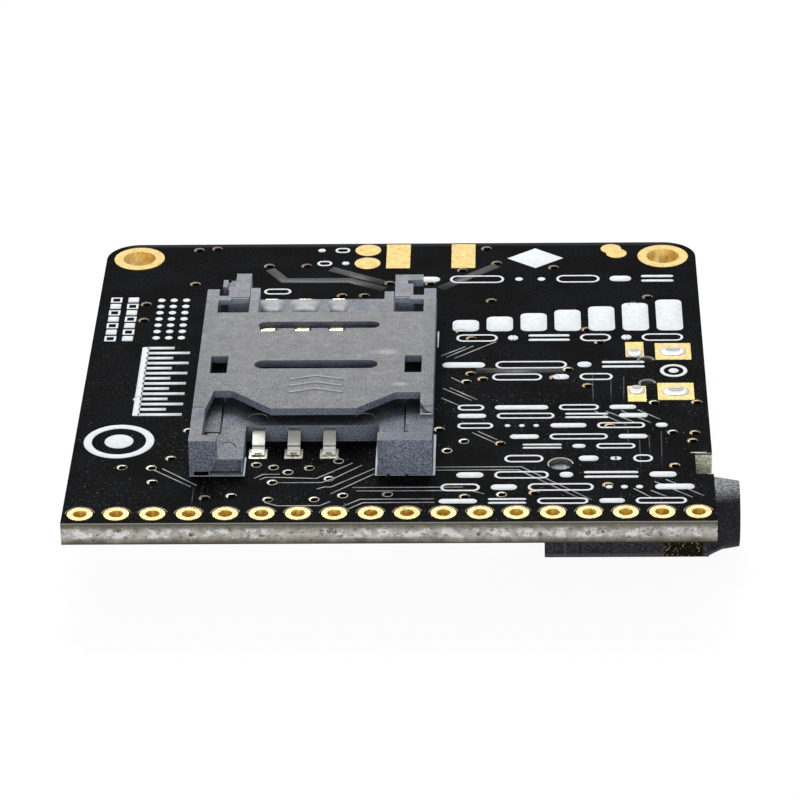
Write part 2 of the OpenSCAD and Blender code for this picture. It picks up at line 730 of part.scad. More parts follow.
// Channels and tunnels for the contacts, mould marks and the cut corner
module sim_floor_cuts() {
    for (x = sim_contact_x) {
        for (c = [sim_front_channel, sim_rear_channel])
            translate([x - sim_channel_w / 2, c[0], sim_channel_floor])
                cube([sim_channel_w, c[1] - c[0], sim_floor_h - sim_channel_floor + past]);
        translate([x - sim_contact_w / 2, sim_leg_l - past, sim_tunnel[0]])
            cube([sim_contact_w, sim_front_channel[0] - sim_leg_l + 2 * past,
                sim_tunnel[1] - sim_tunnel[0]]);
        translate([x - sim_contact_w / 2, sim_rear_channel[1] - past,
            sim_floor_h - sim_contact_t])
            cube([sim_contact_w, sim_d, sim_contact_t + past]);
    }
    for (p = sim_mark) translate([p[0], p[1], sim_floor_h - sim_mark_h])
        cylinder(h = sim_mark_h + past, d = sim_mark_d, $fn = fine);
    translate([sim_corner_cut[0], -past, -past])
        cube([sim_corner_cut[1], sim_corner_cut[2] + past, sim_corner_cut[3] + past]);
    along_y(2 * sim_leg_recess_d) polygon(sim_leg_recess);
    translate([sim_w - sim_rail_w, 0, sim_h - sim_rail_drop])
        linear_extrude(sim_rail_drop + past) polygon([
            [-past, sim_right_stop[1]], [sim_rail_w + past, sim_right_stop[1]],
            [sim_rail_w + past, sim_rail_low[0][1]], sim_rail_low[0], sim_rail_low[1],
            sim_rail_low[2], [-past, sim_rail_low[2][1]]]);
}

// Narrow grooves beside the card guides and across their front ends
module sim_guide_grooves() {
    z = sim_floor_h - sim_guide_deep;
    l = sim_window_y[0] - sim_guide_y + sim_guide_gap;
    for (x = [sim_rail_w + sim_guide_w, sim_w - sim_rail_w - sim_guide_w - sim_guide_gap])
        translate([x, sim_guide_y - sim_guide_gap, z])
            cube([sim_guide_gap, l, sim_guide_deep + past]);
    for (x = [sim_rail_w, sim_w - sim_rail_w - sim_guide_w])
        translate([x, sim_guide_y - 2 * sim_guide_gap, z])
            cube([sim_guide_w, 2 * sim_guide_gap, sim_guide_deep + past]);
}

// Windows, slots, the open pockets behind the cover and the posts' cut corners
module sim_cover_cuts() {
    right = sim_w - sim_rail_w;
    post_right = [for (p = sim_post) p[0] + p[1]];
    for (x = [sim_rail_w, right - sim_window_w])
        translate([x, sim_window_y[0], -past])
            cube([sim_window_w, sim_window_y[1] - sim_window_y[0], sim_h + 2 * past]);
    for (x = [[sim_rail_w, post_right[0]], [sim_post[1][0], right]])
        translate([x[0], sim_cover_end, -past])
            cube([x[1] - x[0], sim_post_front - sim_cover_end, sim_h + 2 * past]);
    for (x = [[sim_rail_w, sim_post[0][0]], [post_right[1], right]])
        translate([x[0], sim_post_front - past, -past])
            cube([x[1] - x[0], sim_d, sim_floor_h + 2 * past]);
    for (c = [[sim_post[0][0] - past, sim_post_cut[0]],
            [post_right[1] - sim_post_cut[1][0], sim_post_cut[1]]])
        translate([c[0], c[1][1], sim_h - (c[1][2] < sim_d ? sim_h - sim_floor_h
            : sim_post_cut_h)])
            cube([c[1][0] + past, c[1][2] - c[1][1], sim_h]);
    translate([0, 0, sim_h - sim_cover_t - past]) linear_extrude(sim_cover_t + 2 * past) {
        for (s = sim_slot_y)
            translate([(sim_slot_x[0] + sim_slot_x[1]) / 2, (s[0] + s[1]) / 2])
                slot_outline(sim_slot_x[1] - sim_slot_x[0], s[1] - s[0]);
        for (x = sim_contact_x)
            translate([x - sim_notch[0], sim_slot_y[1][0] - sim_notch[2]])
                square([sim_notch[0] + sim_notch[1], 2 * sim_notch[2]]);
    }
    for (x = [-past, right]) translate([x, sim_leg_l + sim_joint_h, sim_h - sim_joint_h])
        cube([sim_rail_w + past, sim_joint_w, sim_joint_h + past]);
}

// Three contacts: foot, rise into the holder, spring and dipped tip
module sim_contact_row(path) {
    color(cream) on_top() translate([sim_left, sim_front, 0])
        for (x = sim_contact_x) translate([x - sim_contact_w / 2, 0, 0])
            along_x(sim_contact_w) strip(path, sim_contact_t);
}

module sim_front_contacts() {
    beam = (sim_tunnel[0] + sim_tunnel[1]) / 2;
    foot = sim_foot_front + sim_foot_l;
    tip = sim_h - sim_cover_t + sim_front_tip[1];
    sim_contact_row([
        [sim_foot_front, sim_foot_z], [foot, sim_foot_z],
        [foot + sim_foot_rise[0], sim_foot_z + sim_foot_rise[1]],
        [sim_leg_l - sim_contact_t / 2, beam - sim_contact_t / 3],
        [sim_leg_l + 2 * sim_contact_t, beam],
        [sim_front_channel[0] + sim_channel_w, beam],
        [sim_front_tip[0] - sim_front_tip[2], tip - sim_front_tip[3]],
        [sim_front_tip[0], tip],
        [sim_front_tip[0] + sim_front_tip[2], tip - sim_front_tip[3]],
        [sim_front_channel[1] - sim_contact_w / 2, tip - sim_tip_drop]]);
}

module sim_rear_contacts() {
    top = sim_floor_h - sim_contact_t / 2;
    foot = sim_foot_rear - sim_foot_l;
    tip = sim_h - sim_cover_t + sim_rear_tip[1];
    sim_contact_row([
        [sim_foot_rear, sim_foot_z], [foot, sim_foot_z],
        [foot - sim_foot_rise[0], sim_foot_z + sim_foot_rise[1]],
        [sim_floor_end + 1.5 * sim_contact_t, top - 1.5 * sim_contact_t],
        [sim_floor_end + sim_contact_t / 3, top],
        [sim_rear_channel[1] - sim_channel_w / 3, top],
        [sim_rear_channel[1] - sim_channel_w, top - 1.5 * sim_contact_t],
        [sim_rear_tip[0] + sim_channel_w, sim_floor_h - sim_contact_t],
        [sim_rear_tip[0] + sim_rear_tip[2], tip - sim_rear_tip[3]],
        [sim_rear_tip[0], tip],
        [sim_rear_tip[0] - sim_rear_tip[2], tip - sim_rear_tip[3]],
        [sim_rear_tip[0] - 2 * sim_rear_tip[2], tip - sim_tip_drop]]);
}

// Terminals of the jack: recess in a side wall and window into the chamber
module jack_recess(t) {
    out = jack_body_w / 2;
    translate([t[0], jack_y, 0]) mirror([0, t[2] < 0 ? 1 : 0, 0]) {
        translate([-t[1] / 2, out - jack_strip_t, -past])
            cube([t[1], jack_strip_t + past, t[3] + past]);
        translate([-jack_window / 2, 0, jack_plate_h - jack_window])
            cube([jack_window, out, jack_window]);
    }
}

// One terminal: side plate, foot on the board and finger into the window
module jack_terminal(t) {
    out = jack_body_w / 2;
    reach = jack_chamber / 2 + jack_finger_gap;
    translate([t[0], jack_y, 0]) mirror([0, t[2] < 0 ? 1 : 0, 0]) union() {
        translate([-t[1] / 2, out - jack_strip_t, 0]) cube([t[1], jack_strip_t, t[3]]);
        translate([-t[1] / 2, out - jack_strip_t, 0])
            cube([t[1], jack_strip_t + jack_foot_l, jack_foot_t]);
        translate([-jack_window / 2, reach, jack_plate_h - jack_window])
            cube([jack_window, out - reach, jack_window]);
    }
}

module jack_housing() {
    half = jack_body_w / 2;
    low = jack_body_h - jack_axis_h;
    cone_x = jack_collar_x + jack_collar_l;
    color(black_plastic) on_underside() difference() {
        union() {
            translate([jack_left, jack_y, 0]) along_x(jack_body_l) polygon([
                [-half, 0], [half, 0], [half, jack_body_h - jack_chamfer],
                [half - jack_chamfer, jack_body_h], [jack_chamfer - half, jack_body_h],
                [-half, jack_body_h - jack_chamfer]]);
            translate([jack_collar_x, jack_y, jack_axis_h]) rotate([0, 90, 0])
                cylinder(h = jack_collar_l, d = jack_collar_d, $fn = smooth);
            translate([cone_x, jack_y, jack_axis_h]) rotate([0, 90, 0])
                cylinder(h = jack_tip_x - cone_x, d1 = jack_collar_d, d2 = jack_nose_d,
                    $fn = smooth);
            translate([jack_right - past, jack_y, jack_axis_h]) rotate([90, 0, 90])
                linear_extrude(jack_shoulder[0], scale = jack_shoulder[1]) polygon([
                    [-half, 0], [half, 0], [half, low - jack_chamfer],
                    [half - jack_chamfer, low], [jack_chamfer - half, low],
                    [-half, low - jack_chamfer]]);
            translate([jack_peg_x, jack_y, -jack_peg_l])
                cylinder(h = jack_peg_l + past, d = jack_peg_d, $fn = fine);
        }
        translate([jack_tip_x - jack_mouth_l - past, jack_y, jack_axis_h]) rotate([0, 90, 0])
            cylinder(h = jack_mouth_l + 2 * past, d = jack_bore_d, $fn = smooth);
        translate([jack_left + jack_back, jack_y - jack_chamber / 2,
            jack_axis_h - jack_chamber / 2])
            cube([jack_tip_x - jack_mouth_l - jack_left - jack_back, jack_chamber,
                jack_chamber]);
        for (t = [jack_sleeve, jack_ring_a, jack_ring_b, jack_tip]) jack_recess(t);
    }
}

module jack_sleeve_contact() {
    color(tin) on_underside() jack_terminal(jack_sleeve);
}

module jack_ring_contacts() {
    color(tin) on_underside() {
        jack_terminal(jack_ring_a);
        jack_terminal(jack_ring_b);
    }
}

module jack_tip_contact() {
    color(tin) on_underside() jack_terminal(jack_tip);
}

// Section of the charging socket's shell, inset by a wall, as (y, z)
module usb_section(inset) {
    w = usb_w / 2 - inset;
    c = usb_chamfer[0];
    polygon([
        [-w + c, inset], [w - c, inset], [w, usb_chamfer[1]], [w, usb_h - inset],
        [-w, usb_h - inset], [-w, usb_chamfer[1]]]);
}

module usb_shell() {
    latch_x = usb_mouth - usb_latch_at[0];
    color(tin) on_plating() {
        difference() {
            translate([usb_mouth - usb_l, usb_y, 0]) along_x(usb_l) usb_section(0);
            translate([usb_mouth - usb_l - past, usb_y, 0])
                along_x(usb_l + 2 * past) usb_section(usb_t);
            for (s = [-1, 1]) {
                translate([usb_mouth - usb_peg_x, usb_y + s * usb_peg_y, -past])
                    cylinder(h = usb_t + 2 * past, d = usb_peg_hole_d, $fn = fine);
                translate([latch_x, usb_y + s * usb_latch_at[1], usb_h - usb_t - past])
                    block([usb_latch_hole[0], usb_latch_hole[1], usb_t + 2 * past]);
            }
        }
        for (s = [-1, 1]) translate([latch_x + (usb_latch_hole[0] - usb_latch[0]) / 2,
            usb_y + s * usb_latch_at[1], usb_h - usb_t])
            block([usb_latch[0], usb_latch[1], usb_t]);
        for (tab = [usb_big_tab, usb_small_tab])
            at_usb_slots(tab) translate([0, 0, -usb_tab_l])
                block([tab[2], usb_t, usb_tab_l + usb_t]);
    }
}

// Path of a contact as (x, z): along the tongue, through the block, down to its foot
usb_contact_path = [
    [usb_mouth - usb_tongue_end - usb_contact_tip, usb_tongue_z - usb_contact_t / 2],
    [usb_mouth - usb_l - usb_foot[0], usb_tongue_z - usb_contact_t / 2],
    [usb_mouth - usb_l - usb_foot[1], usb_contact_t / 2],
    [usb_mouth - usb_l - usb_foot[2], usb_contact_t / 2]];

module usb_contacts() {
    color(gold) on_underside() for (i = [-2 : 2])
        translate([0, usb_y + i * usb_contact_pitch, 0])
            along_y(usb_contact_w) strip(usb_contact_path, usb_contact_t);
}

module usb_insulator() {
    color(black_plastic) difference() {
        on_plating() {
            translate([usb_mouth - usb_l, usb_y, 0]) along_x(usb_block_l) usb_section(usb_t);
            translate([usb_mouth - usb_l + usb_block_l - past,
                usb_y - usb_tongue[0] / 2, usb_tongue_z - usb_contact_t])
                cube([usb_l - usb_block_l - usb_tongue_end + past, usb_tongue[0],
                    usb_tongue[1] + usb_contact_t]);
            for (s = [-1, 1])
                translate([usb_mouth - usb_peg_x, usb_y + s * usb_peg_y, -usb_peg_l])
                    cylinder(h = usb_peg_l + usb_t + past, d = usb_peg_d, $fn = fine);
        }
        usb_contacts();
    }
}

// Battery socket: open at the board's edge, with two square pins inside
module battery_socket() {
    in_w = cell_w - 2 * cell_wall;
    color(cream) on_underside() translate([cell_mouth - cell_l, cell_y, 0]) difference() {
        translate([0, -cell_w / 2, 0]) cube([cell_l, cell_w, cell_h]);
        translate([cell_back, -in_w / 2, cell_floor])
            cube([cell_l, in_w, cell_h - 2 * cell_floor]);
        for (s = [-1, 1])
            translate([cell_l - cell_key_l, s * (in_w / 2 - cell_key_w) - cell_key_w / 2,
                cell_h - cell_floor - past])
                cube([cell_key_l + past, cell_key_w, cell_floor + 2 * past]);
        for (s = [-1, 1])
            translate([-past, s * cell_pitch / 2 - cell_pin / 2, cell_pin_z - cell_pin / 2])
                cube([cell_back + 2 * past, cell_pin, cell_pin]);
    }
}

module battery_pins() {
    back = cell_mouth - cell_l - cell_pin_back;
    color(tin) on_underside() for (s = [-1, 1])
        translate([0, cell_y + s * cell_pitch / 2, 0]) along_y(cell_pin) strip([
            [cell_mouth - cell_pin_tip, cell_pin_z], [back, cell_pin_z],
            [back, cell_pin / 2], [cell_foot_end, cell_pin / 2]], cell_pin);
}

// Solder anchors on the two sides of the battery socket
module battery_anchors() {
    color(tin) on_underside() for (s = [-1, 1])
        translate([cell_mouth - cell_anchor_x, cell_y + s * cell_w / 2, 0])
            mirror([0, s < 0 ? 1 : 0, 0]) union() {
                translate([-cell_anchor[0] / 2, 0, 0]) cube(cell_anchor);
                translate([-cell_anchor[0] / 2, 0, 0])
                    cube([cell_anchor[0], cell_anchor_foot, cell_anchor[1]]);
            }
}

// Puts a contact's shape at every edge contact of the module, pointing outward along -Y
module at_module_contacts() {
    translate([module_left + module_w / 2, module_front + module_d / 2, 0])
        for (side = [0 : 3], i = [0 : module_contacts - 1]) rotate([0, 0, side * 90])
            translate([(i - (module_contacts - 1) / 2) * module_contact_pitch,
                -(side % 2 == 0 ? module_d : module_w) / 2, 0])
                children();
}

module module_board() {
    color(green) on_underside() difference() {
        translate([module_left, module_front, 0]) cube([module_w, module_d, module_board_t]);
        at_module_contacts() translate([-module_contact_w / 2, -past, -past])
            cube([module_contact_w, module_contact_in + past, module_board_t + 2 * past]);
    }
}

// Edge contacts, each with a half hole where the solder climbs
module module_edge_contacts() {
    color(gold) on_underside() at_module_contacts() difference() {
        translate([-module_contact_w / 2, 0, 0])
            cube([module_contact_w, module_contact_in, module_board_t]);
        translate([0, 0, -past])
            cylinder(h = module_board_t + 2 * past, d = module_hole_d, $fn = coarse);
    }
}

// A box with round upright edges, standing on z = 0
module round_box(w, d, r, h) {
    linear_extrude(h) union() {
        translate([0, r]) square([w, d - 2 * r]);
        translate([r, 0]) square([w - 2 * r, d]);
        for (x = [r, w - r], y = [r, d - r]) translate([x, y]) circle(r = r, $fn = smooth);
    }
}

// A drawn can, open towards the module's board
module module_shield() {
    w = module_w - 2 * module_can_inset;
    d = module_d - 2 * module_can_inset;
    color(tin) on_underside()
        translate([module_left + module_can_inset, module_front + module_can_inset,
            module_board_t]) difference() {
        round_box(w, d, module_can_r, module_can_h);
        translate([module_can_t, module_can_t, -past])
            round_box(w - 2 * module_can_t, d - 2 * module_can_t,
                module_can_r - module_can_t, module_can_h - module_can_t + past);
    }
}

// A chip inside the shield: place from the module's corner and size
module module_chip(at, size) {
    color(black_plastic) on_underside()
        translate([module_left + at[0], module_front + at[1], module_board_t]) block(size);
}

module module_processor() {
    module_chip(processor_at, processor_size);
}

module module_memory() {
    module_chip(memory_at, memory_size);
}

module module_amplifier() {
    module_chip(amplifier_at, amplifier_size);
}

// Puts a shape at each antenna socket
module at_antennas() {
    for (p = antenna_at) translate([p[0], p[1], 0]) children();
}

module antenna_socket_bases() {
    color(cream) on_underside() at_antennas() difference() {
        block([antenna_base[0], antenna_base[0], antenna_base[1]]);
        translate([0, 0, -past])
            cylinder(h = antenna_base[1] + 2 * past, d = antenna_pin_d, $fn = fine);
    }
}

module antenna_socket_shells() {
    out = antenna_ring[0] / 2;
    in = antenna_ring[1] / 2;
    top = antenna_h - antenna_base[1];
    color(gold) on_underside() at_antennas() translate([0, 0, antenna_base[1]])
        rotate_extrude($fn = smooth) polygon([
            [in, 0], [out + antenna_flange[0], 0],
            [out + antenna_flange[0], antenna_flange[1]],
            [out - antenna_neck[0], antenna_neck[1]],
            [out - antenna_neck[0], antenna_neck[2]], [out, antenna_neck[3]],
            [out, top - antenna_bevel], [out - antenna_bevel, top], [in, top]]);
}

module antenna_socket_pins() {
    color(gold) on_underside() at_antennas() rotate_extrude($fn = fine) polygon([
        [0, 0], [antenna_pin_d / 2, 0], [antenna_pin_d / 2, antenna_pin_h - antenna_pin_bevel],
        [antenna_pin_d / 4, antenna_pin_h], [0, antenna_pin_h]]);
}

// Puts a shape at the key switch
module at_key() {
    translate([key_at[0], key_at[1], 0]) children();
}

module key_base() {
    h = key_body_h - key_cover_t;
    color(black_plastic) on_underside() at_key() difference() {
        block([key_size[0], key_size[1], h]);
        translate([0, 0, key_floor]) cylinder(h = h, d = key_well_d, $fn = smooth);
        for (x = [-1, 1], y = [-1, 1]) translate([x * key_size[0] / 2, y * key_lead_y, -past])
            block([2 * key_lead[1], key_lead[0], key_lead[2] + past]);
    }
}

module key_cover() {
    color(tin) on_underside() at_key() translate([0, 0, key_body_h - key_cover_t])
        difference() {
            block([key_size[0], key_size[1], key_cover_t]);
            translate([0, 0, -past]) cylinder(h = key_cover_t + 2 * past,
                d = key_d + 2 * key_clear, $fn = smooth);
        }
}

// Turned plunger: a flange under the cover and the button that is pressed
module key_plunger() {
    top = key_body_h - key_cover_t - key_flange_gap;
    end = key_body_h + key_proud;
    r = key_d / 2;
    color(ivory) on_underside() at_key() rotate_extrude($fn = smooth) polygon([
        [0, top - key_flange_t], [r + key_flange_over / 2, top - key_flange_t],
        [r + key_flange_over / 2, top], [r, top], [r, end - key_bevel],
        [r - key_bevel, end], [0, end]]);
}

// Domed snap spring: a spherical cap that stands on the base's floor
module key_dome() {
    r = (key_dome_d * key_dome_d / 4 + key_dome_h * key_dome_h) / (2 * key_dome_h);
    color(tin) on_underside() at_key() translate([0, 0, key_floor]) difference() {
        intersection() {
            translate([0, 0, key_dome_h - r]) sphere(r = r, $fn = smoothest);
            cylinder(h = key_dome_h, d = key_dome_d, $fn = smooth);
        }
        translate([0, 0, key_dome_h - r]) sphere(r = r - key_dome_t, $fn = smoothest);
    }
}

module key_terminals() {
    color(tin) on_underside() at_key() for (x = [-1, 1], y = [-1, 1])
        translate([x * key_size[0] / 2, y * key_lead_y, 0])
            block([2 * key_lead[1], key_lead[0], key_lead[2]]);
}

// Level shifter: a moulded body with bent leads along two sides
module level_shifter_body() {
    color(black_plastic) on_underside() translate([chip_at[0], chip_at[1], chip_stand])
        block(chip_size);
}

module level_shifter_leads() {
    half = chip_size[0] / 2;
    mid = chip_stand + chip_size[2] / 2;
    color(tin) on_underside() translate([chip_at[0], chip_at[1], 0])
        for (s = [0, 1], i = [0 : chip_leads - 1]) mirror([s, 0, 0])
            translate([0, (i - (chip_leads - 1) / 2) * chip_lead_pitch, 0])
                along_y(chip_lead[0]) strip([
                    [half, mid], [half + chip_shoulder[0], mid],
                    [half + chip_shoulder[1], chip_lead[2] / 2],
                    [half + chip_lead[1], chip_lead[2] / 2]], chip_lead[2]);
}

module charger_chip_body() {
    color(black_plastic) on_underside() translate([charger_at[0], charger_at[1], plating_t])
        block(charger_size);
}

// Flat pads under the charger chip's edges and the heat pad in the middle
module charger_chip_pads() {
    color(tin) on_underside() translate([charger_at[0], charger_at[1], 0]) {
        for (turn = [0 : 90 : 270], i = [0 : charger_pads - 1]) rotate([0, 0, turn])
            translate([(i - (charger_pads - 1) / 2) * chip_lead_pitch,
                charger_size[1] / 2 - charger_pad[1] / 2, 0])
                block([charger_pad[0], charger_pad[1], plating_t]);
        block([charger_size[0] * charger_heat_pad, charger_size[1] * charger_heat_pad,
            plating_t]);
    }
}

// Puts a small part at each place of a list
module at_places(places) {
    for (p = places) translate([p[0], p[1], 0]) rotate([0, 0, p[2]]) children();
}

// Bodies and end caps of two-ended parts
module small_body(h) {
    block([small_size[0] - 2 * small_end, small_size[1], h]);
}

module small_ends(h) {
    for (s = [-1, 1]) translate([s * (small_size[0] - small_end) / 2, 0, 0])
        block([small_end, small_size[1], h]);
}

module resistor_bodies() {
    color(black_plastic) on_underside() at_places(resistor_at) small_body(small_size[2]);
}

module resistor_terminals() {
    color(tin) on_underside() at_places(resistor_at) small_ends(small_size[2]);
}

module capacitor_bodies() {
    color(tan_ceramic) on_underside() at_places(capacitor_at) small_body(cap_h);
}

module capacitor_terminals() {
    color(tin) on_underside() at_places(capacitor_at) small_ends(cap_h);
}

module led_bases() {
    color(cream) on_underside() at_places(led_at)
        block([small_size[0], small_size[1], led_base_h]);
}

module led_lenses() {
    color(pale_resin) on_underside() at_places(led_at)
        translate([0, 0, led_base_h])
            block([small_size[0] - 2 * small_end, small_size[1], led_h - led_base_h]);
}

module transistor_bodies() {
    color(black_plastic) on_underside() for (p = transistor_at)
        translate([p[0], p[1], chip_stand]) block(transistor_size);
}

// Two leads on one side and one on the other
module transistor_leads() {
    half = transistor_size[1] / 2;
    mid = chip_stand + transistor_size[2] / 2;
    t = transistor_lead[2];
    color(tin) on_underside() for (p = transistor_at) translate([p[0], p[1], 0])
        for (lead = [[-transistor_lead_x, 0], [transistor_lead_x, 0], [0, 180]])
            rotate([0, 0, lead[1]]) translate([lead[0] - transistor_lead[0] / 2, half, 0])
                along_x(transistor_lead[0]) strip([
                    [0, mid], [transistor_shoulder[0], mid],
                    [transistor_shoulder[1], t / 2], [transistor_lead[1], t / 2]], t);
}

module bulk_capacitor_body() {
    color(ochre) on_underside() translate([bulk_at[0], bulk_at[1], chip_stand])
        block(bulk_size);
}

// Profile of a folded end plate that wraps a body from its foot up its end
module folded_end(half, e) {
    polygon([
        [half - e[2], 0], [half + e[1], 0], [half + e[1], e[3]], [half, e[3]],
        [half, chip_stand], [half - e[2], chip_stand]]);
}

// Both end plates of a part that lies along Y: width, thickness, foot length, height
module folded_ends(half, e) {
    for (s = [0, 1]) mirror([0, s, 0]) translate([-e[0] / 2, 0, 0])
        along_x(e[0]) folded_end(half, e);
}

module bulk_capacitor_terminals() {
    color(tin) on_underside() translate([bulk_at[0], bulk_at[1], 0])
        folded_ends(bulk_size[1] / 2, bulk_end);
}

module diode_body() {
    color(black_plastic) on_underside() translate([diode_at[0], diode_at[1], chip_stand])
        block(diode_size);
}

module diode_terminals() {
    color(tin) on_underside() translate([diode_at[0], diode_at[1], 0])
        folded_ends(diode_size[1] / 2, diode_end);
}

board();
header_plating();
mounting_hole_plating();
usb_slot_plating();
antenna_edge_pads();
jumper_pads();
test_pad();
sim_pads();
sim_holder();
sim_front_contacts();
sim_rear_contacts();
jack_housing();
jack_sleeve_contact();
jack_ring_contacts();
jack_tip_contact();
usb_shell();
usb_insulator();
usb_contacts();
battery_socket();
battery_pins();
battery_anchors();
module_board();
module_edge_contacts();
module_shield();
module_processor();
module_memory();
module_amplifier();
antenna_socket_bases();
antenna_socket_shells();
antenna_socket_pins();
key_base();
key_cover();
key_plunger();
key_dome();
key_terminals();
level_shifter_body();
level_shifter_leads();
charger_chip_body();
charger_chip_pads();
resistor_bodies();
resistor_terminals();
capacitor_bodies();
capacitor_terminals();
led_lenses();
led_bases();
transistor_bodies();
transistor_leads();
bulk_capacitor_body();
bulk_capacitor_terminals();
diode_body();
diode_terminals();
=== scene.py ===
import json
from math import pi

import bpy
import bmesh
import numpy as np
from mathutils import Matrix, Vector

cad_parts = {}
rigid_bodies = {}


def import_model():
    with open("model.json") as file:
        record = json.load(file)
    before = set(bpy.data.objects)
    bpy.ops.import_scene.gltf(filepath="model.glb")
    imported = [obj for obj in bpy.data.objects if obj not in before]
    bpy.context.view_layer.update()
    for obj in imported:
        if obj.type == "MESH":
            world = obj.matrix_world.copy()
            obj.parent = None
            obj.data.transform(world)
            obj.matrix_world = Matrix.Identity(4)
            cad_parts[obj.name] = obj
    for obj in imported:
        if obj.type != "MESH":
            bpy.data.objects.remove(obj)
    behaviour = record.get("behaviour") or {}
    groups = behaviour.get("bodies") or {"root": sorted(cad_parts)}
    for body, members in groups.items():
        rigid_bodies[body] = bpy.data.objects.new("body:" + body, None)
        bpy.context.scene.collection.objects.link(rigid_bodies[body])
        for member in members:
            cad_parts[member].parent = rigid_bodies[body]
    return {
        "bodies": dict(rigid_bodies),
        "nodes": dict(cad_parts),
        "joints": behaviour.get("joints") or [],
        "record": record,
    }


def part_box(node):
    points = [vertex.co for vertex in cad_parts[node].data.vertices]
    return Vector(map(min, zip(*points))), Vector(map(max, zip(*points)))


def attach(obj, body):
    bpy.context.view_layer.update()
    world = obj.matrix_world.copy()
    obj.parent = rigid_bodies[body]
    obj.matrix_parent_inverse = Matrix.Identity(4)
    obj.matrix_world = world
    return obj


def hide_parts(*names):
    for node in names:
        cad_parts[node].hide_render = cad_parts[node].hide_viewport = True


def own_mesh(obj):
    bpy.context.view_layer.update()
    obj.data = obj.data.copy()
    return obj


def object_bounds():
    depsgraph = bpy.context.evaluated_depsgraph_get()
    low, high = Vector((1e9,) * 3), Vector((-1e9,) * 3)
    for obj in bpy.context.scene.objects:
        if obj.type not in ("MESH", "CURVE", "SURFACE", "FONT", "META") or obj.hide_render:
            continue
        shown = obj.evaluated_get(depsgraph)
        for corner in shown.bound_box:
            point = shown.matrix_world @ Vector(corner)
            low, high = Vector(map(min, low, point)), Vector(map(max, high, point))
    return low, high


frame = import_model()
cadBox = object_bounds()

mm = 0.001
scene = bpy.context.scene
boardLow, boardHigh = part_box("board")
boardMiddle = -boardLow.x / mm
rowFront = -boardLow.y / mm
print("frame loaded:", len(frame["nodes"]), "nodes")


# Shapes are (points in millimetres, list of face arrays). They are laid out from the
# board's left and front edges, with z counted up from its upper face. The frame's origin,
# the middle of the header row, is at (boardMiddle, rowFront).
def toFrame(points):
    origin = np.array([boardLow.x, boardLow.y, boardHigh.z])
    return origin + np.asarray(points, float) * mm


def gridFaces(rows, columns, around=False):
    # quads between neighbouring rows of points, each row a loop; around joins the last row to the first
    index = np.arange(rows * columns).reshape(rows, columns)
    index = np.hstack([index, index[:, :1]])
    if around:
        index = np.vstack([index, index[:1]])
    a, b = index[:-1, :-1], index[:-1, 1:]
    c, d = index[1:, 1:], index[1:, :-1]
    return np.stack([a, b, c, d], -1).reshape(-1, 4)


def joined(shapes):
    # one shape out of many: points one after another, faces counted on
    starts = np.cumsum([0] + [len(points) for points, _ in shapes[:-1]])
    points = np.vstack([points for points, _ in shapes])
    faces = [face + start for (_, sets), start in zip(shapes, starts) for face in sets]
    return points, faces


def copies(shape, places):
    # the shape set down at every place: p' = p + place
    points, faces = shape
    places = np.asarray(places, float)
    moved = (points[None] + places[:, None]).reshape(-1, 3)
    step = np.arange(len(places))[:, None, None] * len(points)
    return moved, [(face[None] + step).reshape(-1, face.shape[1]) for face in faces]


def arcPoints(start, end, steps, last=True):
    # (cos t, sin t) for t from start to end
    t = np.linspace(start, end, steps, endpoint=last)
    return np.stack([np.cos(t), np.sin(t)], -1)


def roundDisc(radius, steps=20):
    return radius * arcPoints(0, 2 * pi, steps, last=False)


def roundBox(width, depth, radius, steps=4):
    # outline of a box with round corners: corner centre + radius (cos t, sin t)
    half = np.array([width / 2 - radius, depth / 2 - radius])
    quarter = radius * arcPoints(0, pi / 2, steps) + half
    mirrorX = quarter[::-1] * [-1, 1]
    return np.vstack([quarter, mirrorX, -quarter, -mirrorX])


def stacked(outline, rings):
    # the outline once for each ring of (share, z): point = (share * outline, z)
    rings = np.asarray(rings, float)
    flat = rings[:, :1, None] * np.asarray(outline, float)[None]
    z = np.broadcast_to(rings[:, 1:, None], (len(rings), len(outline), 1))
    return np.concatenate([flat, z], -1).reshape(-1, 3)


def turned(profile, steps=20):
    # a closed profile of (r, z) turned about z: x = r cos t, y = r sin t
    return stacked(roundDisc(1, steps), profile), [gridFaces(len(profile), steps, around=True)]


def mound(outline, rings):
    # the outline stacked in rings, closed by a middle point above and a flat foot below
    count = len(outline)
    middle = [*np.mean(outline, 0), rings[-1][1]]
    points = np.vstack([stacked(outline, rings), [middle]])
    i = np.arange(count)
    last = (len(rings) - 1) * count
    cap = np.stack([last + i, last + (i + 1) % count, np.full(count, len(points) - 1)], -1)
    foot = i[None, ::-1]
    return points, [gridFaces(len(rings), count), cap, foot]


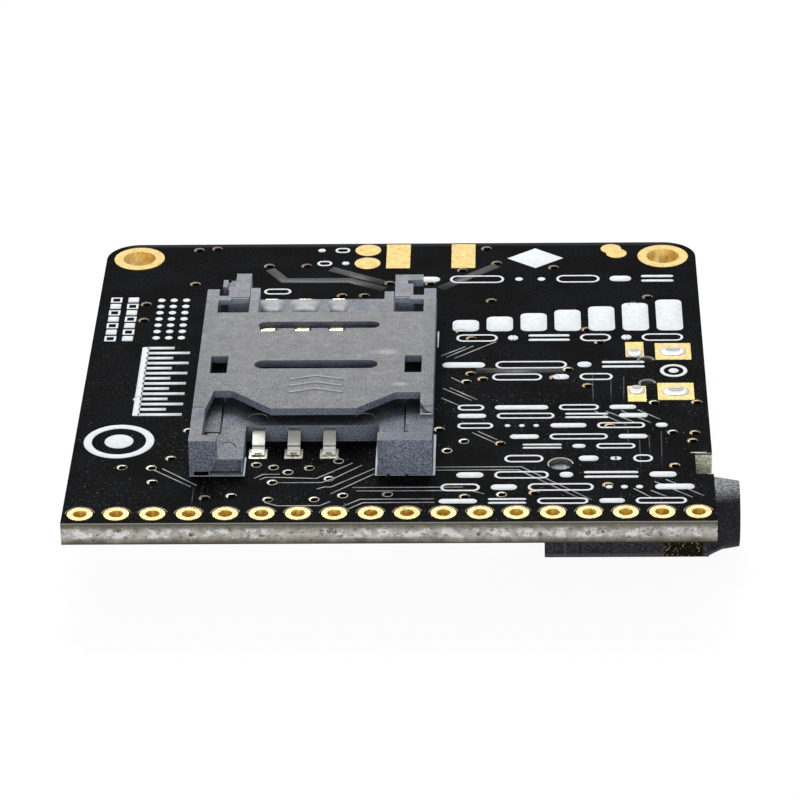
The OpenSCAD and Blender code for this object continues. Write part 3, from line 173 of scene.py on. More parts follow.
def ribbon(path, width, height, closed=False, z=0):
    # a flat ridge along a path: point = path + offset * side, with mitred sides and sloping flanks
    bevelShare, sharpest = 0.25, 0.4
    quarterTurn = np.array([(0, 1), (-1, 0)])
    path = np.asarray(path, float)
    ahead = np.roll(path, -1, 0) - path
    if not closed:
        ahead[-1] = ahead[-2]
    ahead = ahead / np.linalg.norm(ahead, axis=1)[:, None]
    back = np.roll(ahead, 1, 0)
    if not closed:
        back[0] = ahead[0]
    side = (ahead + back) @ quarterTurn
    side = side / np.linalg.norm(side, axis=1)[:, None]
    side = side / np.clip((side * (ahead @ quarterTurn)).sum(1), sharpest, 1)[:, None]
    half = width / 2
    flank = min(height, width * bevelShare)
    offset = np.array([-half, flank - half, half - flank, half])
    level = np.array([0, height, height, 0]) + z
    flat = path[:, None] + offset[None, :, None] * side[:, None]
    points = np.concatenate([flat, np.broadcast_to(level[None, :, None], (len(path), 4, 1))], -1)
    faces = gridFaces(len(path), 4, around=closed)
    if not closed:
        last = (len(path) - 1) * 4
        ends = np.array([[3, 2, 1, 0], [last, last + 1, last + 2, last + 3]])
        faces = np.vstack([faces, ends])
    return points.reshape(-1, 3), [faces]


def arcRibbon(x, y, radius, start, end, width, height, z, steps=18):
    # a ridge along an arc: (x, y) + radius (cos t, sin t), t from start to end in half turns
    path = np.array([x, y]) + radius * arcPoints(start * pi, end * pi, steps)
    return ribbon(path, width, height, z=z)


def linked(name, data):
    thing = bpy.data.objects.new(name, data)
    scene.collection.objects.link(thing)
    return thing


def makePiece(name, shape, finish, creased=True):
    # every piece is shaded smooth, a creased one with sharp edges
    points, faces = shape
    mesh = bpy.data.meshes.new(name)
    mesh.from_pydata(toFrame(points), [], [face for sets in faces for face in sets.tolist()])
    mesh.validate()
    work = bmesh.new()
    work.from_mesh(mesh)
    bmesh.ops.recalc_face_normals(work, faces=work.faces)
    work.to_mesh(mesh)
    work.free()
    mesh.shade_smooth()
    if creased:
        mesh.set_sharp_from_angle(angle=0.6)
    mesh.materials.append(finishes[finish])
    piece = linked(name, mesh)
    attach(piece, "circuit_board")
    return piece


class Wire:
    # a shader socket that takes part in sums, so that 1 - wire * 2 adds its Math nodes
    def __init__(self, graph, socket):
        self.graph = graph
        self.socket = socket

    def math(self, kind, left, right=0):
        return self.graph.add("ShaderNodeMath", {"operation": kind}, {0: left, 1: right})

    def __add__(self, other):
        return self.math("ADD", self, other)

    def __radd__(self, other):
        return self.math("ADD", other, self)

    def __sub__(self, other):
        return self.math("SUBTRACT", self, other)

    def __rsub__(self, other):
        return self.math("SUBTRACT", other, self)

    def __mul__(self, other):
        return self.math("MULTIPLY", self, other)

    def __rmul__(self, other):
        return self.math("MULTIPLY", other, self)

    def __abs__(self):
        return self.math("ABSOLUTE", self)

    def atLeast(self, other):
        return self.math("MAXIMUM", self, other)


class Graph:
    # a node tree with its output: add() puts in any node and gives the socket that comes out
    def __init__(self, tree, exitKind):
        self.tree = tree
        self.tree.nodes.clear()
        self.exit = self.tree.nodes.new(exitKind)

    def add(self, kind, settings=None, sockets=None, out=0):
        node = self.tree.nodes.new(kind)
        for name, value in (settings or {}).items():
            if name == "stops":
                self.setStops(node.color_ramp.elements, value)
            else:
                setattr(node, name, value)
        for name, value in (sockets or {}).items():
            if isinstance(value, Wire):
                self.tree.links.new(value.socket, node.inputs[name])
            else:
                node.inputs[name].default_value = value
        return Wire(self, node.outputs[out])

    def setStops(self, elements, stops):
        while len(elements) < len(stops):
            elements.new(0.5)
        for element, (at, rgb) in zip(elements, stops):
            element.position = at
            element.color = (*rgb, 1)

    def show(self, shader):
        self.tree.links.new(shader.socket, self.exit.inputs["Surface"])

    def watched(self):
        # 1 for rays from the camera, mirrored and passed on ones too: 1 - product of (1 - kind)
        others = 1
        for name in ("Is Camera Ray", "Is Glossy Ray", "Is Transmission Ray"):
            others = (1 - self.add("ShaderNodeLightPath", out=name)) * others
        return 1 - others


class Finish(Graph):
    # a material, with short names for the nodes that are used most
    def __init__(self, name):
        self.material = bpy.data.materials.new(name)
        self.material.use_nodes = True
        super().__init__(self.material.node_tree, "ShaderNodeOutputMaterial")
        place = self.add("ShaderNodeTexCoord", out="Object")
        self.spot = self.add("ShaderNodeVectorMath", {"operation": "SCALE"}, {0: place, "Scale": 1 / mm})
        self.facing = self.add("ShaderNodeNewGeometry", out="True Normal")

    def axis(self, wire, name):
        return self.add("ShaderNodeSeparateXYZ", None, {0: wire}, out=name)

    def x(self):
        # x and y are counted from the board's left and front edges, as in the shapes
        return self.axis(self.spot, "X") + boardMiddle

    def y(self):
        return self.axis(self.spot, "Y") + rowFront

    def z(self):
        return self.axis(self.spot, "Z")

    def upward(self):
        # 1 on faces that look up, 0 on walls
        return self.axis(self.facing, "Z")

    def grain(self, perMm, detail=3, rough=0.6, stretch=(1, 1, 1), shift=0):
        sockets = {"Vector": self.spot, "Scale": stretch, "Location": (shift, shift, 0)}
        spot = self.add("ShaderNodeMapping", None, sockets)
        sockets = {"Vector": spot, "Scale": perMm, "Detail": detail, "Roughness": rough}
        return self.add("ShaderNodeTexNoise", None, sockets)

    def between(self, wire, first, last, low=0, high=1, settings=None):
        # first to last becomes low to high, in a straight line
        sockets = {"Value": wire, "From Min": first, "From Max": last, "To Min": low, "To Max": high}
        return self.add("ShaderNodeMapRange", settings, sockets)

    def rise(self, wire, low, high):
        # 0 up to low, 1 from high, smooth between them
        return self.between(wire, low, high, settings={"interpolation_type": "SMOOTHSTEP"})

    def spread(self, wire, low, high):
        # most noise lies between 0.25 and 0.75
        return self.between(wire, 0.25, 0.75, low, high)

    def blend(self, share, first, second):
        first = first if isinstance(first, Wire) else (*first, 1)
        second = second if isinstance(second, Wire) else (*second, 1)
        return self.add("ShaderNodeMix", {"data_type": "RGBA"}, {0: share, 6: first, 7: second}, out=2)

    def vector(self, kind, first, second, out=0):
        return self.add("ShaderNodeVectorMath", {"operation": kind}, {0: first, 1: second}, out)

    def tinted(self, colour, factor):
        # the colour times a number or a value
        return self.add("ShaderNodeVectorMath", {"operation": "SCALE"}, {0: colour, "Scale": factor})

    def shelter(self, reach):
        # 1 in the open, towards 0 in corners and under edges nearer than reach
        return self.add("ShaderNodeAmbientOcclusion", {"samples": 8}, {"Distance": reach * mm}, out="AO")

    def dots(self, perMm, share, size):
        # 1 on small spots at random places, one in a cell or none
        cells = {"Vector": self.spot, "Scale": perMm}
        near = self.add("ShaderNodeTexVoronoi", None, cells)
        pick = self.axis(self.add("ShaderNodeTexVoronoi", None, cells, out="Color"), "X")
        return (1 - self.rise(near, size * 0.5, size)) * self.rise(pick, 1 - share, 1.01 - share)

    def bump(self, height, deep):
        sockets = {"Height": height, "Strength": 1, "Distance": deep * mm}
        return self.add("ShaderNodeBump", None, sockets)

    def edges(self, radius):
        # 0 on flats, towards 1 where a rounded normal leaves the real one
        soft = self.add("ShaderNodeBevel", {"samples": 4}, {"Radius": radius * mm})
        return self.rise(1 - self.vector("DOT_PRODUCT", soft, self.facing, "Value"), 0.01, 0.25)

    def done(self, colour, roughness, normal, metallic=0, gloss=0.5):
        sockets = {"Base Color": colour, "Roughness": roughness, "Normal": normal, "Metallic": metallic}
        sockets["Specular IOR Level"] = gloss
        self.show(self.add("ShaderNodeBsdfPrincipled", None, sockets))
        return self.material


# The circuit board: black mask with dust on its face, and the bare laminate at its cut edge
maskLook = {
    "black": (0.0033, 0.0034, 0.0038), "pour": (0.0052, 0.0056, 0.0066), "gloss": 0.004,
    "dust": (0.28, 0.275, 0.26), "sweptFrom": (15.27, 33.27), "swept": 0.85,
    # back: a paler band along the back edge, a painted highlight
    "back": (0.03, 0.031, 0.033), "backHighlightFrom": (43.82, 44.12), "backHighlightShare": 0.8,
    # edgeStops: the cut edge's tones from foot to top, partly its layers and partly painted shading
    "edgeStops": [
        (0, (0.11, 0.1, 0.075)), (0.1, (0.17, 0.15, 0.12)), (0.26, (0.36, 0.33, 0.275)),
        (0.42, (0.54, 0.52, 0.475)), (0.56, (0.5, 0.475, 0.43)), (0.72, (0.27, 0.255, 0.21)),
        (0.88, (0.16, 0.155, 0.115)),
    ],
    "resin": (0.88, 0.87, 0.85), "resinShare": 0.75, "fibre": (0.1, 0.09, 0.08), "fibreShare": 0.7,
    "foot": (0.05, 0.045, 0.035), "footTo": (0.02, 0.07),
    "inner": (0.17, 0.16, 0.13), "innerFrom": (1.27, 2.27),
    # notch: the notch's far wall painted paler, as if lit
    "notch": (0.72, 0.7, 0.56), "notchFrom": (42.86, 43.86),
    "lipFoot": (0.12, 0.115, 0.1), "lipFootFrom": (0.87, 0.9),
    # lip: a pale line along the top edge, a painted highlight
    "lip": (0.31, 0.29, 0.25), "lipFrom": (0.94, 0.96), "bump": 0.006,
}


def maskFace(f, look):
    # two blacks over the copper, then specks and films of dust that thin out towards the back
    face = f.blend(f.rise(f.grain(0.22), 0.42, 0.6), look["black"], look["pour"])
    face = f.tinted(face, f.rise(f.grain(6, rough=0.8, shift=9), 0.36, 0.66) * 1.9 + 0.1)
    dusty = f.rise(f.grain(0.2, detail=2, rough=0.5, shift=7), 0.42, 0.6)
    specks = f.dots(3.2, 0.07, 0.2) * 0.6 + f.dots(4.6, 0.55, 0.2) * dusty * 0.5
    film = f.rise(f.grain(3.2, detail=5, rough=0.8, shift=4), 0.5, 0.75) * (dusty * 0.08 + 0.01)
    swept = 1 - f.rise(f.y(), *look["sweptFrom"]) * look["swept"]
    face = f.blend((specks + film) * swept, face, look["dust"])
    # a paler band along the back edge: a painted highlight
    return f.blend(f.rise(f.y(), *look["backHighlightFrom"]) * look["backHighlightShare"], face, look["back"])


def maskCut(f, look):
    # a ramp up the edge's height, partly its layers and partly painted shading, with glass fibre mottles;
    # duller inside slots, painted paler in the notch, and a painted highlight along the top lip
    up = f.between(f.z(), boardLow.z / mm, boardHigh.z / mm, 0, 1)
    wander = f.spread(f.grain(0.9, stretch=(1, 1, 0.4)), -0.12, 0.12)
    cut = f.add("ShaderNodeValToRGB", {"stops": look["edgeStops"]}, {0: up + wander})
    middle = f.rise(up, 0.2, 0.36) * (1 - f.rise(up, 0.6, 0.8))
    pale = f.rise(f.grain(1.15, detail=4, rough=0.65, stretch=(1, 1, 1.2), shift=11), 0.48, 0.58)
    cut = f.blend(pale * middle * look["resinShare"], cut, look["resin"])
    mottle = f.rise(f.grain(2.3, detail=4, rough=0.7, stretch=(1, 1, 1.5)), 0.5, 0.68)
    cut = f.blend(mottle * look["fibreShare"], cut, look["fibre"])
    pits = f.dots(1.4, 1, 0.34) * f.rise(f.grain(4.5, rough=0.7, shift=2), 0.42, 0.54)
    cut = f.blend(pits * middle, cut, look["fibre"])
    cut = f.blend(1 - f.rise(up, *look["footTo"]), cut, look["foot"])
    # the notch's far wall is painted paler, as if lit
    inner = f.blend(f.rise(f.x(), *look["notchFrom"]), look["inner"], look["notch"])
    inner = f.tinted(inner, f.rise(f.grain(7, rough=0.7, shift=1), 0.3, 0.7) * 1.1 + 0.45)
    cut = f.blend(f.rise(f.y(), *look["innerFrom"]), cut, inner)
    cut = f.blend(f.rise(up, *look["lipFootFrom"]), cut, look["lipFoot"])
    # the pale line along the top lip is a painted highlight
    return f.blend(f.rise(up, *look["lipFrom"]), cut, look["lip"])


def maskFinish(look):
    f = Finish("solderMask")
    onFace = f.rise(abs(f.upward()), 0.6, 0.8)
    height = f.grain(1.1, rough=0.55) * onFace + (1 - onFace) * f.grain(5, rough=0.7) * 6
    colour = f.blend(onFace, maskCut(f, look), maskFace(f, look))
    roughness = f.spread(f.grain(2), 0.36, 0.52)
    return f.done(colour, roughness, f.bump(height, look["bump"]), gloss=look["gloss"])


# Gold: (face, its stains, inside of a hole, glints there, their scale, fading to the back, bump)
goldLooks = {
    "padPlating": ((0.8, 0.59, 0.23), (0.7, 0.46, 0.13), (0.8, 0.52, 0.12), (1, 0.86, 0.42), 0.8, 0, 0.006),
    "headerPlating": (
        (0.72, 0.55, 0.27), (0.64, 0.45, 0.18), (0.66, 0.42, 0.06), (1, 0.8, 0.3), 3.2, 0, 0.003),
    "viaGold": ((0.8, 0.5, 0.24), (0.42, 0.2, 0.08), (0.1, 0.07, 0.03), (0.75, 0.55, 0.25), 3, 0.6, 0.006),
    "viaPale": ((0.86, 0.84, 0.68), (0.5, 0.46, 0.3), (0.08, 0.08, 0.07), (0.75, 0.72, 0.55), 3, 0.7, 0.006),
}


def goldFinish(name):
    ring, shade, wall, wallLight, wallScale, fade, bump = goldLooks[name]
    f = Finish(name)
    gain = 1 - f.rise(f.y(), 23.27, 35.27) * fade
    flat = f.rise(f.upward(), 0.5, 0.8)
    top = f.blend(f.rise(f.grain(1.7, rough=0.65), 0.46, 0.7), ring, shade)
    glints = f.rise(f.grain(wallScale, rough=0.7, stretch=(1, 1, 0.6), shift=3), 0.42, 0.6)
    colour = f.tinted(f.blend(flat, f.blend(glints, wall, wallLight), top), gain)
    roughness = f.spread(f.grain(4), 0.12, 0.24)
    return f.done(colour, roughness, f.bump(f.grain(3.5), bump), metallic=flat * 0.75 + 0.25)


# Mouldings: a speckled skin with paler edges, partly wear and partly a painted highlight. The SIM holder's
# is uneven from place to place, the jack's has seams painted as pale and dark lines and a painted sheen on
# its nose and upward faces.
mouldedLook = {"edgeShare": 0.5, "topFrom": (0.3, 0.9), "grainFrom": (0.34, 0.68)}
simPlasticLook = {
    **mouldedLook, "top": (0.142, 0.143, 0.149), "side": (0.135, 0.15, 0.19),
    "dark": 0.35, "pale": 1.8, "speckle": 9.5, "edge": (0.4, 0.41, 0.44), "edgeShare": 0.6,
    "roughness": (0.5, 0.72), "gloss": 0.4, "bump": 0.03, "radius": 0.07, "grainFrom": (0.37, 0.63),
    "fade": {"from": (14.5, 18.5), "least": 0.45, "middle": 0.45},
    "mark": {"x": 17.3, "y": [14.9, 15.9, 16.9], "half": 1.9, "slope": 0.3, "stroke": 0.3, "rise": 4},
    # the cover's gain: paler towards the back, a painted sheen
    "cover": [12.2, 26.9], "coverSheenGain": (0.9, 1.12), "blotch": (0.74, 1.23), "stain": (0.8, 1.19),
    "cool": (0.108, 0.122, 0.152), "plain": (0.15, 0.16, 0.174),
    # rightSide: the right tower's walls painted paler, as if lit
    "right": (0.073, 0.091, 0.126), "rightSide": (0.165, 0.185, 0.235), "rightFrom": (22.06, 23.26),
    "rail": (0.122, 0.127, 0.14), "railFrom": (7.5, 8),
    # post, postSide: the posts at the back painted paler, as if lit
    "post": (0.16, 0.167, 0.19), "postSide": (0.25, 0.28, 0.35), "postFrom": (29.1, 29.2),
    # dimples: pale ovals painted where the cover has shallow dents, a painted highlight
    "dimples": [(22.3, 20.6, 1.25, 0.6), (23.4, 15.5, 0.8, 0.4)],
    "shade": {"reach": 2.4, "open": (0.16, 0.6), "left": 0.17, "slots": 0.42, "slotsTo": (6.7, 7),
              "slotsFrom": (14, 14.5), "behind": 0.62, "behindFrom": (26.8, 27.2)},
}
jackPlasticLook = {
    # top, far paler than side: a painted sheen on the jack's upward faces and nose
    **mouldedLook, "top": (0.2, 0.205, 0.215), "side": (0.03, 0.028, 0.032),
    "dark": 0.45, "pale": 2.4, "speckle": 7, "edge": (0.07, 0.07, 0.075),
    "roughness": (0.4, 0.55), "gloss": 0.03, "bump": 0.014, "radius": 0.08, "topFrom": (0.62, 0.98),
    # seams: (x, gain); a gain above 1 paints a pale line, a highlight, below 1 a dark seam line
    "seams": [(35.2, 1.9), (36.25, 0.4), (44.9, 2.2)],
    "nose": {"from": (45.06, 45.26), "height": (-2.35, -1.45), "facing": (0.1, 0.5)},
    "rightSide": (0.014, 0.013, 0.016), "rightFrom": (45.06, 45.66),
}
blackMouldingLook = {
    **mouldedLook, "top": (0.026, 0.026, 0.028), "side": (0.024, 0.024, 0.026),
    "dark": 0.7, "pale": 1.6, "speckle": 6, "edge": (0.07, 0.07, 0.075),
    "roughness": (0.4, 0.6), "gloss": 0.3, "bump": 0.008, "radius": 0.04,
}
whiteMouldingLook = {
    **mouldedLook, "top": (0.74, 0.71, 0.64), "side": (0.7, 0.67, 0.6),
    "dark": 0.9, "pale": 1.06, "speckle": 3, "edge": (0.8, 0.78, 0.73),
    "roughness": (0.42, 0.6), "gloss": 0.5, "bump": 0.01, "radius": 0.06,
}


def coverTones(f, look):
    # the cover is grey and paler towards its back edge, a painted sheen; the frame round it is cooler and
    # uneven
    front, back = look["cover"]
    # paler towards the back: a painted sheen
    gain = f.between(f.y(), front, back, *look["coverSheenGain"])
    blotch = f.spread(f.grain(0.7, shift=6), *look["blotch"])
    blotch = f.spread(f.grain(2.2, shift=12), *look["stain"]) * blotch
    frame = f.blend(f.rise(f.grain(0.5, shift=2), 0.4, 0.6), look["cool"], look["plain"])
    frame = f.blend(f.rise(f.x(), *look["rightFrom"]) * 0.8, frame, look["right"])
    onCover = f.rise(f.y(), front - 0.1, front + 0.1) * f.rise(f.z(), 2.2, 2.4)
    aside = abs(f.x() - look["mark"]["x"])
    cover = f.blend(f.rise(aside, *look["railFrom"]), look["top"], look["rail"])
    # the posts at the back are painted paler, as if lit
    cover = f.blend(f.rise(f.y(), *look["postFrom"]), cover, look["post"])
    return f.tinted(f.blend(onCover, frame, cover), gain * blotch)


def chevrons(f, mark):
    # raised chevrons, |y - middle + slope |x - middle|| under half a stroke, painted pale on their ridges as
    # a highlight, and the dark line at their feet, a painted shadow
    across = abs(f.x() - mark["x"])
    inside = 1 - f.rise(across, mark["half"], mark["half"] + 0.1)
    ridge = foot = 0
    for y in mark["y"]:
        off = f.y() + across * mark["slope"] - y
        ridge = (1 - f.rise(abs(off), mark["stroke"] * 0.3, mark["stroke"] * 0.6)) + ridge
        foot = (1 - f.rise(abs(off + 0.75 * mark["stroke"]), 0.05, 0.14)) + foot
    return ridge * inside, foot * inside


def dimple(f, x, y, wide, deep):
    # 1 in the middle of a flat oval, 0 at its rim
    middle = (x - boardMiddle, y - rowFront, 2)
    away = f.vector("DIVIDE", f.vector("SUBTRACT", f.spot, middle), (wide, deep, 9))
    return 1 - f.rise(f.vector("DISTANCE", away, (0, 0, 0), "Value"), 0.3, 1)


def sheltered(f, shade, middle):
    # painted shade: corners and hollows are darker, less so in the slots and behind the cover
    bare = f.rise(f.shelter(shade["reach"]), *shade["open"])
    inSlots = 1 - f.rise(abs(f.x() - middle), *shade["slotsTo"])
    slots = inSlots * f.rise(f.y(), *shade["slotsFrom"]) * (shade["slots"] - shade["left"])
    behind = f.rise(f.y(), *shade["behindFrom"]) * (shade["behind"] - shade["left"])
    least = slots.atLeast(behind) + shade["left"]
    return least + bare * (1 - least)


def mouldedFinish(name, look):
    f = Finish(name)
    flat = f.rise(f.upward(), *look["topFrom"])
    # on the jack's nose the upper part gets the top colour: a painted sheen
    if "nose" in look:
        nose = look["nose"]
        onNose = f.rise(f.x(), *nose["from"])
        lit = f.rise(f.z(), *nose["height"]) * f.rise(f.upward(), *nose["facing"])
        flat = onNose * lit + (1 - onNose) * flat
    top = coverTones(f, look) if "cover" in look else look["top"]
    side = look["side"]
    # rightSide: on the holder the right tower's walls are painted paler, as if lit; on the jack the nose's
    # walls are darker
    if "rightSide" in look:
        side = f.blend(f.rise(f.x(), *look["rightFrom"]) * 0.8, side, look["rightSide"])
    # the posts' walls are painted much paler, as if lit
    if "postSide" in look:
        side = f.blend(f.rise(f.y(), *look["postFrom"]), side, look["postSide"])
    base = f.blend(flat, side, top)
    fine = f.grain(look["speckle"], detail=4, rough=0.7)
    share = f.rise(fine, *look["grainFrom"])
    if "fade" in look:
        fade = look["fade"]
        contrast = f.between(f.y(), *fade["from"], 1, fade["least"])
        share = contrast * (share - fade["middle"]) + fade["middle"]
    colour = f.blend(share, f.tinted(base, look["dark"]), f.tinted(base, look["pale"]))
    # paler edges: partly wear, partly a painted highlight along rounded edges
    worn = f.edges(look["radius"]) * f.rise(f.grain(2.2, shift=5), 0.35, 0.6)
    colour = f.blend(worn * look["edgeShare"], colour, look["edge"])
    height = fine + f.grain(0.6, detail=2, rough=0.5) * 2
    # seam lines: pale ones are painted highlights, a dark one is a seam
    for x, gain in look.get("seams", []):
        seam = 1 - f.rise(abs(f.x() - x), 0.04, 0.1)
        colour = f.tinted(colour, seam * (gain - 1) + 1)
    # dimples: pale ovals, a painted highlight where the cover dips
    for place in look.get("dimples", []):
        colour = f.blend(dimple(f, *place) * flat * 0.5, colour, look["edge"])
    if "mark" in look:
        # chevron ridges painted paler as a highlight, their feet darker as a painted shadow
        ridge, foot = chevrons(f, look["mark"])
        colour = f.blend(ridge * flat * 0.5, colour, look["edge"])
        colour = f.tinted(colour, 1 - foot * flat * 0.55)
        height = height + ridge * flat * look["mark"]["rise"]
    if "shade" in look:
        colour = f.tinted(colour, sheltered(f, look["shade"], look["mark"]["x"]))
    roughness = f.spread(f.grain(3), *look["roughness"])
    return f.done(colour, roughness, f.bump(height, look["bump"]), gloss=look["gloss"])


# Bare metals, brushed or cast and stained: (base, stain, its share, metallic, scale, stretch, roughness,
# bump), and for some the stain's limits and the height of a crease, along which a dark line is painted as
# shade
metalLooks = {
    "contact_metal": (
        (0.6, 0.61, 0.55), (0.42, 0.42, 0.36), 0.6, 0.6, 3.5, (1, 1, 0.3), (0.45, 0.6), 0.012, (0.45, 0.7),
        0.36),
    "rear_contact": ((0.7, 0.65, 0.44), (0.6, 0.54, 0.35), 0.5, 1, 3, (1, 1, 0.3), (0.3, 0.42), 0.01),
    "slot_solder": ((0.56, 0.55, 0.49), (0.38, 0.36, 0.3), 0.8, 0.25, 1.1, (1, 1, 1), (0.3, 0.45), 0.01),
    "slot_tab": ((0.24, 0.23, 0.19), (0.12, 0.11, 0.09), 0.8, 0.3, 3, (0.4, 1, 1), (0.35, 0.5), 0.01),
    "foot_land": ((0.92, 0.9, 0.78), (0.6, 0.56, 0.42), 0.5, 0.6, 3, (1, 1, 1), (0.2, 0.35), 0.01),
    "foot_solder": (
        (0.4, 0.37, 0.28), (0.025, 0.02, 0.012), 0.95, 0.6, 6, (1, 1, 1), (0.3, 0.5), 0.05, (0.4, 0.52)),
    "jack_metal": (
        (0.007, 0.006, 0.004), (0.75, 0.65, 0.3), 0.9, 1, 7, (1, 1, 1), (0.3, 0.5), 0.02, (0.6, 0.7)),
    "steel_shell": ((0.72, 0.72, 0.71), (0.5, 0.49, 0.46), 0.5, 1, 5, (0.15, 1, 1), (0.24, 0.42), 0.006),
    "tinned_metal": ((0.83, 0.83, 0.81), (0.6, 0.59, 0.55), 0.5, 1, 4, (1, 1, 1), (0.22, 0.45), 0.015),
    "shield_metal": ((0.7, 0.7, 0.71), (0.53, 0.53, 0.52), 0.6, 1, 5, (1, 0.05, 1), (0.25, 0.45), 0.006),
}


def metalFinish(name, base, stain, share, metallic, scale, stretch, roughness, bump,
                limits=(0.45, 0.7), crease=None):
    f = Finish(name)
    stained = f.rise(f.grain(scale, detail=4, rough=0.65, stretch=stretch), *limits)
    height = f.grain(scale * 1.7, stretch=stretch, shift=2)
    colour = f.blend(stained * share, base, stain)
    # a dark line along the crease: painted shade where the contact bends
    if crease:
        colour = f.tinted(colour, f.rise(abs(f.z() - crease), 0.02, 0.06) * 0.75 + 0.25)
    roughness = f.spread(f.grain(scale * 0.8, stretch=stretch, shift=4), *roughness)
    return f.done(colour, roughness, f.bump(height, bump), metallic)


# Small parts, print, and pieces that are painted highlights and painted shade, in two tones: (low, high,
# scale, roughness, gloss, bump)
plainLooks = {
    "module_laminate": ((0.03, 0.1, 0.055), (0.045, 0.15, 0.08), 1.2, (0.3, 0.45), 0.4, 0.008),
    "resistor_black": ((0.012, 0.012, 0.013), (0.03, 0.03, 0.032), 3, (0.2, 0.4), 0.5, 0.01),
    "capacitor_tan": ((0.36, 0.25, 0.16), (0.5, 0.37, 0.25), 3, (0.3, 0.5), 0.5, 0.01),
    "led_lens": ((0.75, 0.75, 0.66), (0.86, 0.86, 0.78), 2, (0.12, 0.25), 0.5, 0.004),
    "bulk_capacitor": ((0.55, 0.38, 0.1), (0.68, 0.5, 0.17), 1.4, (0.35, 0.5), 0.5, 0.01),
    "rear_solder": ((0.165, 0.175, 0.2), (0.34, 0.345, 0.36), 0.9, (0.35, 0.55), 0.5, 0.04),
    "silk": ((0.66, 0.7, 0.72), (0.78, 0.82, 0.83), 2.5, (0.55, 0.75), 0.3, 0.01),
    # well: near black, painted shade in via holes and a groove
    "well": ((0.001, 0.001, 0.001), (0.005, 0.004, 0.003), 5, (0.5, 0.7), 0, 0.004),
    # pale lines painted as highlights on the holder's marks, its corner rim and a peg hole's rim
    "scuff": ((0.3, 0.31, 0.33), (0.66, 0.67, 0.68), 2.5, (0.4, 0.6), 0.4, 0.01),
    # maskLip: a painted highlight on the mask's lip round the header pads
    "maskLip": ((0.26, 0.2, 0.14), (0.55, 0.46, 0.34), 1.4, (0.35, 0.5), 0.4, 0.004),
    "pegRim": ((0.06, 0.058, 0.05), (0.24, 0.23, 0.21), 1.6, (0.4, 0.6), 0.3, 0.006),
    "maskedHint": ((0.004, 0.004, 0.004), (0.03, 0.03, 0.03), 1.6, (0.35, 0.5), 0.1, 0.004),
    # viaRim: pale rings and arcs, painted highlights on the mask's ridges round vias
    "viaRim": ((0.012, 0.011, 0.008), (0.48, 0.45, 0.35), 0.35, (0.3, 0.45), 0.5, 0.004),
    # pale lines along the traces' edges: painted highlights
    "traceEdgeHighlight": ((0.2, 0.2, 0.2), (0.42, 0.42, 0.41), 1.2, (0.35, 0.5), 0.4, 0.004),
    # the corner at the right rail's end, darker: painted shade
    "wornCorner": ((0.048, 0.053, 0.075), (0.1, 0.108, 0.145), 3, (0.5, 0.65), 0.3, 0.006),
    "maskedWide": ((0.011, 0.011, 0.011), (0.026, 0.026, 0.025), 0.9, (0.35, 0.5), 0.2, 0.004),
}


def plainFinish(name, low, high, scale, roughness, gloss, bump):
    f = Finish(name)
    colour = f.blend(f.rise(f.grain(scale, detail=4, rough=0.65), 0.3, 0.7), low, high)
    roughness = f.spread(f.grain(scale * 1.6), *roughness)
    return f.done(colour, roughness, f.bump(f.grain(scale * 2.4), bump), gloss=gloss)


finishes = {
    "solder_mask": maskFinish(maskLook),
    "gold_plating": goldFinish("padPlating"),
    "header_gold": goldFinish("headerPlating"),
    "viaGold": goldFinish("viaGold"),
    "viaPale": goldFinish("viaPale"),
    "sim_plastic": mouldedFinish("simPlastic", simPlasticLook),
    "jack_plastic": mouldedFinish("jackPlastic", jackPlasticLook),
    "black_moulding": mouldedFinish("blackMoulding", blackMouldingLook),
    "white_moulding": mouldedFinish("whiteMoulding", whiteMouldingLook),
}
for name, look in metalLooks.items():
    finishes[name] = metalFinish(name, *look)
for name, look in plainLooks.items():
    finishes[name] = plainFinish(name, *look)

# these nodes wear another finish than their material slot's
nodeFinish = {"header_plating": "header_gold", "sim_rear_contacts": "rear_contact", "sim_pads": "foot_land"}
for part in frame["record"]["subparts"]:
    node = frame["nodes"][part["node"]]
    node.data.materials.clear()
    node.data.materials.append(finishes[nodeFinish.get(part["node"], part["material_slot"])])
print("finishes given to", len(frame["nodes"]), "nodes")


